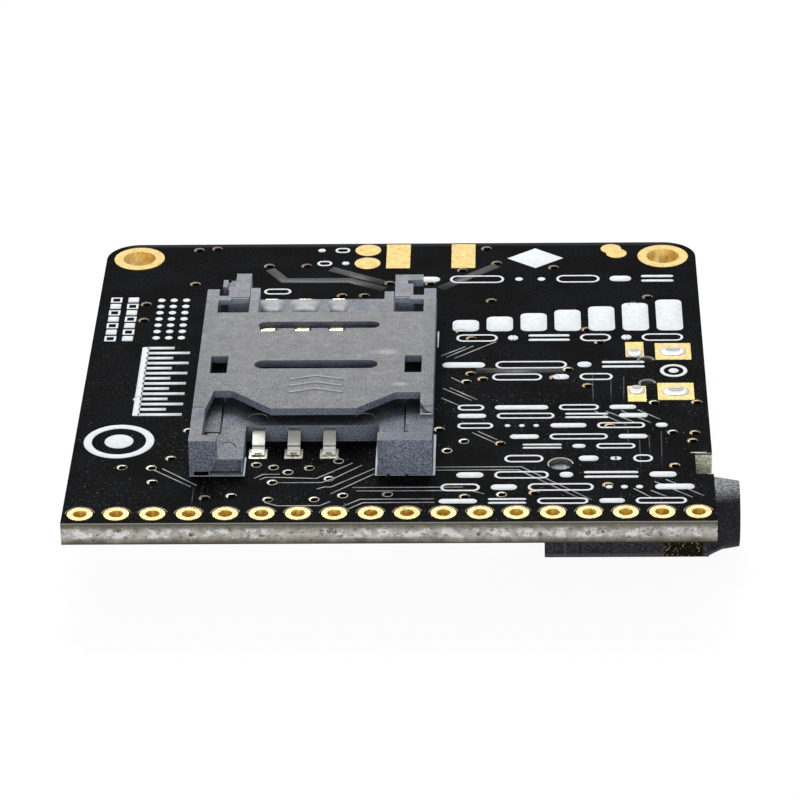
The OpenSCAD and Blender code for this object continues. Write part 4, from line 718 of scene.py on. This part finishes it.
# Vias: a thin raised ring or part of one, painted pale as a highlight on the mask's ridge; a dark well,
# painted shade in the hole; and metal that catches light on its left side, a painted glint
viaLook = {
    "outer": 0.4, "inner": 0.32, "height": 0.03, "sunk": 0.004, "well": 0.33,
    "crescent": 0.32, "hole": 0.285, "offset": (0.045, -0.06), "from": 0.3, "to": 1.25,
    "glint": (0.002, 0.012),
    "arc": {"radius": 0.37, "start": 0, "end": 1.2, "width": 0.07, "height": 0.03},
}
viaPlaces = {
    "whole": [
        (14.3, 3.3), (17.55, 3.3), (19.55, 3.85), (22.7, 4), (14.5, 5.8), (18.5, 6.3), (15.55, 7.3),
        (14.5, 8), (13.25, 8.4), (17.05, 7.9), (19.1, 8.9), (28, 11.8), (26.8, 10.4), (30.7, 3.9),
        (3.7, 8.1), (5.8, 8),
    ],
    "pale": [
        (7.1, 9.4), (6, 5.9), (9.85, 3.55), (11.7, 3.85), (4.1, 18.5), (8.1, 13.6), (26.2, 13.6),
        (43, 13), (41.8, 17.6), (28.1, 21), (35.6, 22.9), (7.1, 43.4), (12.7, 40.5), (29.5, 43.4),
        (22.1, 37.4), (20.2, 35.3), (41.8, 34.8), (27.6, 29.2), (38, 27.3),
    ],
    "gold": [
        (30.6, 11.4), (38.5, 14), (44.6, 12.9), (44.4, 11.7), (43, 8), (44.9, 17.6), (38.2, 5.2),
        (33, 4.1), (28.1, 3.6), (29.3, 21.4), (28.4, 22.3), (34.6, 21.6), (37, 20.3), (7.15, 37.4),
        (8.5, 43.6), (3.6, 34), (3.6, 31.3), (15.6, 40.5), (30.3, 40.8), (34.7, 40), (25.2, 37.3),
        (18.5, 35.3), (29.9, 34.3), (40.7, 33.6), (28.4, 28), (37.1, 29.4), (27.65, 39.6),
    ],
}


def crescent(look, steps=14):
    # between two arcs: outer (cos t, sin t) and offset + inner (cos t, sin t), t over the left and far side
    arc = arcPoints(look["from"] * pi, look["to"] * pi, steps)
    loop = np.vstack([look["crescent"] * arc, (look["hole"] * arc + look["offset"])[::-1]])
    shape = np.concatenate([np.c_[loop, np.full(len(loop), level)] for level in look["glint"]])
    i = np.arange(steps - 1)
    j = 2 * steps - 2 - i
    top = np.stack([i, i + 1, j, j + 1], -1) + 2 * steps
    wall = np.arange(2 * steps)
    ahead = np.roll(wall, -1)
    side = np.stack([wall, ahead, ahead + 2 * steps, wall + 2 * steps], -1)
    return shape, [top, top[:, ::-1] - 2 * steps, side]


def makeVias(look, places):
    sunk = look["sunk"]
    middle = (look["outer"] + look["inner"]) / 2
    half = (look["outer"] - look["inner"]) / 2
    ring = turned([middle, -sunk] + [half, look["height"]] * arcPoints(0, pi, 7))
    well = mound(roundDisc(look["well"], 16), [(1, -sunk), (1, sunk), (0.6, 0.003)])
    arc = arcRibbon(0, 0, z=-sunk, **look["arc"])
    glint = crescent(look)
    spots = {kind: np.array([(x, y, 0) for x, y in group]) for kind, group in places.items()}
    lit = {"viaGold": spots["gold"], "viaPale": np.vstack([spots["whole"], spots["pale"]])}
    for name, part in lit.items():
        makePiece(name + "Glints", copies(glint, part), name)
    halfRinged = np.vstack([spots["pale"], spots["gold"]])
    makePiece("viaRings", copies(ring, spots["whole"]), "viaRim")
    makePiece("viaArcs", copies(arc, halfRinged), "viaRim")
    makePiece("viaWells", copies(well, np.vstack(list(spots.values()))), "well")


makeVias(viaLook, viaPlaces)


# Copper traces under the mask show as ridges: the pale lines along a trace's two edges are painted
# highlights, wide and faint traces are dimmer
traceLook = {
    "sunk": 0.002,
    "traceEdges": {"width": 0.11, "height": 0.012, "finish": "traceEdgeHighlight"},
    "traceFields": {"width": 0.8, "height": 0.006, "finish": "maskedWide"},
    "traceHints": {"width": 0.09, "height": 0.006, "finish": "maskedHint"},
}
tracePaths = {
    "traceEdges": [
        [(26, 7.95), (32.1, 7.95), (37, 3.1)], [(26, 7.5), (31.9, 7.5), (36.4, 3.1)],
        [(20.2, 5), (28, 5)], [(20.5, 4.5), (28.5, 4.5), (29.5, 4)],
        [(20, 1.9), (21, 2.8), (26, 2.8)], [(19.6, 2.3), (20.8, 3.3), (26, 3.3)],
        [(40, 4.7), (41.3, 3.3)], [(41.2, 4.4), (42.3, 3.5)],
        [(41.5, 5.7), (44.1, 3.4)], [(42.3, 6), (44.9, 3.6)],
        [(37.5, 16.3), (39.7, 14.2)], [(38.3, 16.3), (40.3, 14.6)],
        [(39.4, 16.4), (41.5, 14.5)], [(40.6, 16.5), (42.2, 15)],
        [(28.6, 13.1), (30.2, 11.6)], [(29, 13.3), (30.4, 12)],
        [(26.4, 20), (28.5, 18.1)], [(26.9, 20.1), (28.9, 18.2)], [(26.3, 18.5), (27.6, 17.3)],
        [(27, 21.7), (27.7, 21)], [(26.2, 25.2), (28, 26.7)], [(26.6, 25), (28.6, 26.8)],
        [(27.2, 24.8), (30.3, 27.5)], [(6, 7.7), (8.8, 5.2)], [(6.6, 7.9), (9.2, 5.4)],
        [(13.2, 6.4), (13.8, 7), (15, 7)],
        [(13.6, 6.2), (14, 6.55), (15.4, 6.5), (17.6, 6.35), (20.1, 8.6)],
        [(14.9, 5.75), (18, 5.75), (18.9, 6.4), (20.8, 8.3)],
        [(17.7, 4.8), (18.2, 5.1), (18.7, 5.1), (21.7, 7.8)], [(18.7, 4.1), (21.7, 7)],
        [(14.1, 2.9), (15, 2.4), (18, 2.4), (18.7, 3)],
    ],
    "traceFields": [
        [(12.8, 40), (14, 38), (19, 38), (21.7, 36.4)], [(17.5, 40), (21.7, 37.5)],
        [(26, 36.5), (30.3, 40.5)], [(28.8, 22.8), (35.3, 22.8)],
    ],
    "traceHints": [
        [(37.4, 22.4), (37.4, 16.6)], [(38.75, 22.3), (38.7, 17.6)], [(39.7, 21.7), (39.6, 17.4)],
        [(39.8, 13.4), (39.8, 10.6)], [(40.6, 11.9), (40.6, 7.6)], [(42.2, 13.2), (42.1, 7.6)],
        [(41.3, 12.6), (41.3, 9.9)], [(9, 5.2), (9, 2.4)], [(9.6, 5.4), (9.6, 2.4)],
    ],
}


def makeTraces(look, paths):
    for name, group in paths.items():
        kind = look[name]
        ridges = [ribbon(path, kind["width"], kind["height"], z=-look["sunk"]) for path in group]
        makePiece(name, joined(ridges), kind["finish"], creased=False)


makeTraces(traceLook, tracePaths)


# White print: rows of pills, rising bars, a scale, a target, a lozenge, dots, squares, a ring, outlines
printLook = {"height": 0.014, "stroke": 0.2, "sink": 0.003, "gap": 0.75}
# a row is (left, right, front, back, pills), a pill a kind and its share of the row:
# o outlined, f filled, l two lines, d dots
printRows = [
    (24.3, 43.9, 37.4, 38.7, "f2 o5 d3 o4 f2 l3"),
    (27.3, 44.3, 27.5, 28.7, "o4 f1 l4 o3 f1 o4"),
    (26.3, 41.3, 23.1, 24.3, "f3 o5 f1 l3"),
    (30, 38.9, 21.2, 22.3, "o3 f1 o2"),
    (27.5, 40.5, 16.5, 17.4, "o2 f4 o3 f2"),
    (27.5, 41.3, 15.2, 16.1, "f2 o4 l3 f2"),
    (27.5, 42.7, 13.7, 14.6, "o3 d3 f3 o4 f1"),
    (31.3, 41.2, 12, 12.9, "f2 o4 f2"),
    (32.2, 40.3, 10.6, 11.4, "l3 f1 o3"),
    (30.9, 33.7, 8.6, 9.7, "o2"),
    (36.2, 41.5, 8.6, 9.7, "f3 d2 o3"),
    (27.5, 43.1, 6.2, 7.3, "f2 o4 f1 l4 f2"),
    (26.4, 44.3, 4.4, 5.5, "o3 f2 o5 d3 f3"),
    (26.3, 43.7, 2.5, 3.4, "f3 l3 o4 f2 o4"),
    (16.4, 18.9, 42.8, 43.7, "f1 o2"),
    (16.4, 18.9, 40.5, 41.4, "o2 f1"),
    (12.5, 14.6, 35.6, 36.6, "o1"),
]
printMarks = {
    "bars": {"left": 27, "step": 2.56, "count": 7, "width": 2, "front": 29.2, "rise": [1.9, 5.2]},
    "scale": {"x": 4.35, "spine": 0.5, "front": 15.9, "back": 26.9, "ticks": 14, "long": 3.1, "short": 1.9,
              "stroke": 0.4, "end": 0.2},
    "target": {"place": (3.2, 12), "outer": 2.55, "width": 0.6, "dot": 1.05, "steps": (40, 28), "top": 0.98},
    "lozenge": {"place": (33.3, 41.7), "wide": 2.1875, "deep": 1.75},
    "grid": {"x": [4.75, 5.7, 6.65], "front": 28.4, "step": 1.05, "count": 7, "dot": 0.3},
    "columns": {"x": [1.3, 2.6], "front": 28.3, "step": 1.08, "count": 7, "size": 0.82},
    "ring": {
        "place": (43.4, 22.65), "outer": 1.02, "width": 0.3, "dot": 0.38, "steps": (32, 20), "top": 0.95},
}
# a stroke's width and its path
printOutlines = [
    (0.12, [(8.6, 6.8), (12.45, 6.8), (12.45, 9.5)]), (0.12, [(25.95, 26.6), (25.95, 29.2)]),
    (0.12, [(44.2, 9.95), (45.35, 9.95)]), (0.15, [(21.82, 11.8), (21.82, 6.75)]),
    (0.18, [(25.92, 12.8), (25.92, 6.75)]), (0.08, [(21.9, 6.8), (22.6, 6.8)]),
    (0.1, [(22.8, 6.8), (23.9, 6.8)]), (0.07, [(24.1, 6.8), (25.9, 6.8)]),
]


def tiles(outline, places, height, top=0.985):
    # flat tiles over an outline, with their tops a little smaller
    return copies(mound(outline, [(1, 0), (top, height)]), [(x, y, 0) for x, y in places])


def block(left, front, wide, deep, height, radius):
    return tiles(roundBox(wide, deep, radius), [(left + wide / 2, front + deep / 2)], height)


def pill(kind, left, right, front, back, stroke, height):
    # one pill of a row: an outline, a filled body, two lines or a line of dots
    wide, deep = right - left, back - front
    x, y = (left + right) / 2, (front + back) / 2
    if kind == "o":
        outline = roundBox(wide - stroke, deep - stroke, (deep - stroke) * 0.46, 5)
        return ribbon(outline + [x, y], stroke, height, closed=True)
    if kind == "f":
        return tiles(roundBox(wide, deep * 0.72, deep * 0.34, 5), [(x, y)], height)
    if kind == "l":
        line = roundBox(wide, deep * 0.28, deep * 0.13, 4)
        return tiles(line, [(x, y + side * deep * 0.3) for side in (-1, 1)], height)
    count = max(2, round(wide / (deep * 0.85)))
    dots = np.linspace(left + deep * 0.3, right - deep * 0.3, count)
    return tiles(roundDisc(deep * 0.24, 12), [(at, y) for at in dots], height, 0.9)


def printRow(row, look, height):
    left, right, front, back, pills = row
    kinds = pills.split()
    room = right - left - look["gap"] * (len(kinds) - 1)
    unit = room / sum(int(word[1:]) for word in kinds)
    shapes = []
    for word in kinds:
        wide = unit * int(word[1:])
        shapes.append(pill(word[0], left, left + wide, front, back, look["stroke"], height))
        left += wide + look["gap"]
    return shapes


def ringedDot(mark, height):
    # a flat ring, turned from its profile, and a dot in its middle
    outer, inner = mark["outer"], mark["outer"] - mark["width"]
    profile = [(outer, 0), (outer - height, height), (inner + height, height), (inner, 0)]
    ringSteps, dotSteps = mark["steps"]
    ring = copies(turned(profile, ringSteps), [(*mark["place"], 0)])
    return [ring, tiles(roundDisc(mark["dot"], dotSteps), [mark["place"]], height, mark["top"])]


def squares(columns, stroke, height):
    # by turns a solid square and an outlined one
    half = columns["size"] / 2
    corners = 0.85 * half * np.array([(-1, -1), (1, -1), (1, 1), (-1, 1)])
    shapes = []
    for i, x in enumerate(columns["x"]):
        for j in range(columns["count"]):
            y = columns["front"] + j * columns["step"]
            if (i + j) % 2:
                shapes.append(block(x - half, y - half, 2 * half, 2 * half, height, 0.08))
            else:
                shapes.append(ribbon(corners + [x, y], stroke * 0.9, height, closed=True))
    return shapes


def makePrint(look, marks):
    height = look["height"] + look["sink"]
    shapes = []
    for row in printRows:
        shapes += printRow(row, look, height)
    bars = marks["bars"]
    for i, length in enumerate(np.linspace(*bars["rise"], bars["count"])):
        x = bars["left"] + i * bars["step"]
        shapes.append(block(x, bars["front"], bars["width"], length, height, 0.45))
    scale = marks["scale"]
    x, front, back = scale["x"], scale["front"], scale["back"]
    shapes.append(block(x - scale["spine"], front, scale["spine"], back - front, height, 0.1))
    for i, y in enumerate(np.linspace(front + scale["end"], back - scale["end"], scale["ticks"])):
        reach = scale["short"] if i % 2 else scale["long"]
        shapes.append(ribbon([(x - 0.1, y), (x + reach, y)], scale["stroke"], height))
    shapes += ringedDot(marks["target"], height)
    lozenge = marks["lozenge"]
    wide, deep = lozenge["wide"], lozenge["deep"]
    corners = [(wide, 0), (0, deep), (-wide, 0), (0, -deep)]
    shapes.append(tiles(corners, [lozenge["place"]], height, 0.98))
    grid = marks["grid"]
    dots = [(x, grid["front"] + j * grid["step"]) for x in grid["x"] for j in range(grid["count"])]
    shapes.append(tiles(roundDisc(grid["dot"], 10), dots, height, 0.9))
    shapes += squares(marks["columns"], look["stroke"], height)
    shapes += ringedDot(marks["ring"], height)
    for stroke, path in printOutlines:
        shapes.append(ribbon(path, stroke, height))
    sunk = copies(joined(shapes), [(0, 0, -look["sink"])])
    makePiece("whitePrint", sunk, "silk", creased=False)


makePrint(printLook, printMarks)


# Solder drawn up in the charging socket's slots, at the front contacts' feet and behind the cover.
# Rings are (share of the outline, height).
solderLook = {
    "slots": [
        {"places": [(43.45, 25.7), (43.45, 19.3)], "size": (2.05, 1.7), "tab": (1.2, 0.5), "ahead": 0.1},
        {"places": [(40.6, 25.5), (40.6, 19.5)], "size": (1.24, 1.5), "tab": (0.75, 0.34), "ahead": 0.2},
    ],
    "bankRings": [(1, 0.03), (0.97, 0.06), (0.88, 0.112), (0.7, 0.16), (0.5, 0.16), (0.3, 0.144)],
    "tabRings": [(1, 0.128), (0.98, 0.1696), (0.8, 0.176)],
    "feet": [(13.32, 9.74, 0), (15.86, 9.74, 0), (18.4, 9.74, 0)], "footSize": (1, 0.44),
    "footRings": [(1, 0.035), (0.96, 0.07), (0.8, 0.15), (0.5, 0.2), (0.2, 0.21)],
    "lumps": [(1.9, (13.4, 31, 1.26)), (2.3, (15.95, 31, 1.26)), (1.6, (18.45, 31, 1.24))],
    "lumpDeep": 2.25, "lumpRings": [(1, 0), (0.94, 0.1), (0.78, 0.2), (0.5, 0.26), (0.2, 0.27)],
}


def uneven(outline):
    # an outline whose radius swells and shrinks: r' = r (1 + 0.07 sin(3t) + 0.05 sin(5t + 1))
    t = np.arctan2(outline[:, 1], outline[:, 0])
    return outline * (1 + 0.07 * np.sin(3 * t) + 0.05 * np.sin(5 * t + 1))[:, None]


def makeSolder(look):
    banks = []
    tabs = []
    for slot in look["slots"]:
        wide, deep = slot["size"]
        tabWide, tabDeep = slot["tab"]
        bank = mound(roundBox(wide, deep, min(wide, deep) * 0.48, 6), look["bankRings"])
        tab = mound(roundBox(tabWide, tabDeep, tabDeep * 0.45, 5), look["tabRings"])
        banks.append(copies(bank, [(x, y, 0) for x, y in slot["places"]]))
        tabs.append(copies(tab, [(x, y + slot["ahead"], 0) for x, y in slot["places"]]))
    makePiece("slotTabs", joined(tabs), "slot_tab")
    makePiece("solderMounds", joined(banks), "slot_solder")
    foot = mound(roundBox(*look["footSize"], 0.2, 5), look["footRings"])
    makePiece("footMounds", copies(foot, look["feet"]), "foot_solder")
    lumps = []
    for wide, place in look["lumps"]:
        outline = uneven(roundBox(wide, look["lumpDeep"], 0.6, 9))
        lumps.append(copies(mound(outline, look["lumpRings"]), [place]))
    makePiece("rearMounds", joined(lumps), "rear_solder")


makeSolder(solderLook)


# The mask's lip round each header pad, on its far side, painted pale as a highlight
lipLook = {
    "radius": 1.035, "start": 0.08, "end": 0.97, "width": 0.06, "height": 0.03, "z": -0.003, "steps": 16,
}
headerRow = {"count": 18, "pitch": 2.54, "edge": 1.27}


def makeLips(look, row):
    places = [(row["edge"] + row["pitch"] * i, row["edge"], 0) for i in range(row["count"])]
    makePiece("maskLips", copies(arcRibbon(0, 0, **look), places), "maskLip")


makeLips(lipLook, headerRow)


# Marks left by moulding on the holder's floor: pale arcs and a pale line painted as highlights on their
# edges, and a groove painted dark as shade
holderMarks = {
    "ejectors": [(13.2, 13.03, 0.1), (20.9, 13.03, 0.05)], "radius": 0.7, "floor": 1.297, "height": 0.02,
    "start": 0.05, "end": 0.95, "line": [(9.66, 10.62), (10.48, 10.62)], "lineWidth": 0.14,
    "groove": [(10.85, 9.28), (11.1, 9.42), (11.34, 9.43), (11.65, 9.15), (11.85, 8.72)],
    "grooveWidth": 0.09,
}


def makeHolderMarks(look):
    z, height = look["floor"], look["height"]
    arc = look["radius"], look["start"], look["end"]
    shapes = [arcRibbon(x, y, *arc, width, height, z) for x, y, width in look["ejectors"]]
    shapes.append(ribbon(look["line"], look["lineWidth"], height, z=z))
    makePiece("holderHighlights", joined(shapes), "scuff")
    groove = ribbon(look["groove"], look["grooveWidth"], height / 2, z=z)
    makePiece("holderGroove", groove, "well")


makeHolderMarks(holderMarks)


# The worn corner at the end of the holder's right rail, coloured darker as painted shade, with a pale rim
# along its top as a painted highlight: a profile of (y, z), rows of (x, share)
cornerLook = {
    "profile": [(9.95, 2.385), (9.98, 2.42), (10.5, 2.47), (10.8, 2.64), (10.86, 2.735), (10.96, 2.735),
                (10.99, 2.7), (10.99, 2.385)],
    "rows": [(24.84, 0.86), (24.87, 0.97), (24.95, 1), (25.78, 1), (25.84, 0.97), (25.87, 0.86)],
    "rim": [(24.92, 10.88), (25.8, 10.88)], "rimWidth": 0.1, "rimHeight": 0.03, "rimZ": 2.71,
}


def barAlong(profile, rows):
    # a bar along x: at each row the profile stands at foot + share * (profile - foot)
    profile = np.asarray(profile, float)
    rows = np.asarray(rows, float)
    foot = np.array([profile[:, 0].mean(), profile[:, 1].min()])
    spread = foot + rows[:, 1, None, None] * (profile - foot)
    x = np.broadcast_to(rows[:, :1, None], (len(rows), len(profile), 1))
    first = np.arange(len(profile))
    ends = np.array([first[::-1], first + (len(rows) - 1) * len(profile)])
    return np.concatenate([x, spread], -1).reshape(-1, 3), [gridFaces(len(rows), len(profile)), ends]


def makeCorner(look):
    corner = barAlong(look["profile"], look["rows"])
    makePiece("holderCorner", corner, "wornCorner")
    rim = ribbon(look["rim"], look["rimWidth"], look["rimHeight"], z=look["rimZ"])
    makePiece("holderCornerRim", rim, "scuff")


makeCorner(cornerLook)


# The key's snap dome: a thin cap of a ball, fixed to the board here; the real one gives way as the key is
# pressed
domeLook = {"thick": 0.07, "rings": 7, "steps": 28, "keep": 0.44}


def capShell(half, tall, thick, top, rings, steps):
    # two caps hung from z = top, of balls with one centre and radii ball and ball - thick:
    # z = centre - sqrt(radius^2 - r^2), turned about z and joined at the rim
    ball = (half ** 2 + tall ** 2) / (2 * tall)
    centre = top - tall + ball
    inner = ball - thick
    rim = np.sqrt(inner ** 2 - (centre - top) ** 2)
    inside = np.linspace(0, rim, rings)
    outside = np.linspace(half, 0, rings)
    r = np.concatenate([inside, outside])
    z = centre - np.concatenate([np.sqrt(inner ** 2 - inside ** 2), np.sqrt(ball ** 2 - outside ** 2)])
    body = stacked(roundDisc(1, steps), np.stack([r, z], -1)[1:-1])
    points = np.vstack([body, [[0, 0, z[0]], [0, 0, z[-1]]]])
    i = np.arange(steps)
    j = (i + 1) % steps
    last = (len(r) - 3) * steps
    firstFan = np.stack([j, i, np.full(steps, len(points) - 2)], -1)
    lastFan = np.stack([last + i, last + j, np.full(steps, len(points) - 1)], -1)
    return points, [gridFaces(len(r) - 2, steps), np.vstack([firstFan, lastFan])]


def makeDome(look):
    low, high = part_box("key_dome")
    middle = (low + high) / 2
    half = (high.x - low.x) / 2 / mm
    tall = (high.z - low.z) / mm
    shell = capShell(half, tall, look["thick"], high.z / mm, look["rings"], look["steps"])
    place = (middle.x / mm + boardMiddle, middle.y / mm + rowFront, 0)
    dome = makePiece("snapDome", copies(shell, [place]), "steel_shell")
    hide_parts("key_dome")
    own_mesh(dome)


makeDome(domeLook)


# Pale rims of the unplated peg holes, on the side that faces the light: (x, y, radius, width)
rimLook = {
    "start": 0, "end": 1.15, "height": 0.03, "z": -0.01,
    "places": {
        "scuff": [(34.9, 8.35, 0.89, 0.1)],
        "pegRim": [(41.4, 24.35, 0.58, 0.2), (41.4, 20.65, 0.58, 0.2)],
    },
}


def makeRims(look):
    start, end, height, z = look["start"], look["end"], look["height"], look["z"]
    for finish, places in look["places"].items():
        arcs = [arcRibbon(x, y, radius, start, end, width, height, z) for x, y, radius, width in places]
        makePiece(finish + "Arcs", joined(arcs), finish)


makeRims(rimLook)
print("pieces made")


# Stage: floor, lamps, world and camera
floorLook = {"half": 1.5, "colour": 0.8, "glow": 0.95, "share": 0.06}


def makeFloor(look):
    half = look["half"]
    z = cadBox[0][2]
    mesh = bpy.data.meshes.new("floor")
    corners = [(-half, -half, z), (half, -half, z), (half, half, z), (-half, half, z)]
    mesh.from_pydata(corners, [], [(0, 1, 2, 3)])
    floor = linked("floor", mesh)
    f = Finish("paleFloor")
    matte = f.add("ShaderNodeBsdfDiffuse", None, {"Color": (*[look["colour"]] * 3, 1)})
    seen = f.add("ShaderNodeBsdfDiffuse", None, {"Color": (*[look["share"]] * 3, 1)})
    glow = f.add("ShaderNodeEmission", None, {"Color": (1, 1, 1, 1), "Strength": look["glow"]})
    bright = f.add("ShaderNodeAddShader", None, {0: seen, 1: glow})
    mixed = f.add("ShaderNodeMixShader", None, {0: f.watched(), 1: matte, 2: bright})
    # the floor is clear from below, so that the board's underside can be looked at
    behind = f.add("ShaderNodeNewGeometry", out="Backfacing")
    clear = f.add("ShaderNodeBsdfTransparent")
    f.show(f.add("ShaderNodeMixShader", None, {0: behind, 1: mixed, 2: clear}))
    mesh.materials.append(f.material)


makeFloor(floorLook)

lampLooks = {
    "softbox": {"place": (-0.03, 0.3, 0.36), "size": 0.26, "power": 2.3, "colour": (1, 1, 1)},
    "frontFill": {"place": (0, -0.6, 0.07), "size": 0.25, "power": 1.7, "colour": (0.93, 0.96, 1)},
}
worldLook = {"ambient": 0.3, "colour": (1, 1, 1, 1)}


def makeLamp(name, look):
    lamp = bpy.data.lights.new(name, "AREA")
    lamp.size = look["size"]
    lamp.energy = look["power"]
    lamp.color = look["colour"]
    holder = linked(name, lamp)
    holder.location = look["place"]
    _, y, z = look["place"]
    holder.rotation_euler = (-np.arctan2(y, z), 0, 0)  # turned to the board


def makeWorld(look):
    world = bpy.data.worlds.new("studio")
    scene.world = world
    world.use_nodes = True
    g = Graph(world.node_tree, "ShaderNodeOutputWorld")
    dim = g.add("ShaderNodeBackground", None, {"Color": look["colour"], "Strength": look["ambient"]})
    white = g.add("ShaderNodeBackground", None, {"Color": look["colour"]})
    g.show(g.add("ShaderNodeMixShader", None, {0: g.watched(), 1: dim, 2: white}))


for name, look in lampLooks.items():
    makeLamp(name, look)
makeWorld(worldLook)

cameraLook = {
    "place": (8.983, -274.415, 153.502), "down": 0.484836, "turn": 0.02229, "roll": -0.015205,
    "settings": {
        "sensor_width": 36, "lens": 202.95, "shift_x": -0.03528, "clip_start": 0.01, "clip_end": 10},
}


def makeCamera(look):
    camera = bpy.data.cameras.new("camera")
    for name, value in look["settings"].items():
        setattr(camera, name, value)
    holder = linked("camera", camera)
    spin = Matrix.Rotation(look["turn"], 4, "Z") @ Matrix.Rotation(pi / 2 - look["down"], 4, "X")
    spin = spin @ Matrix.Rotation(look["roll"], 4, "Z")
    holder.matrix_world = Matrix.Translation([v * mm for v in look["place"]]) @ spin
    scene.camera = holder


makeCamera(cameraLook)
scene.view_settings.view_transform = "Standard"
print("stage set")
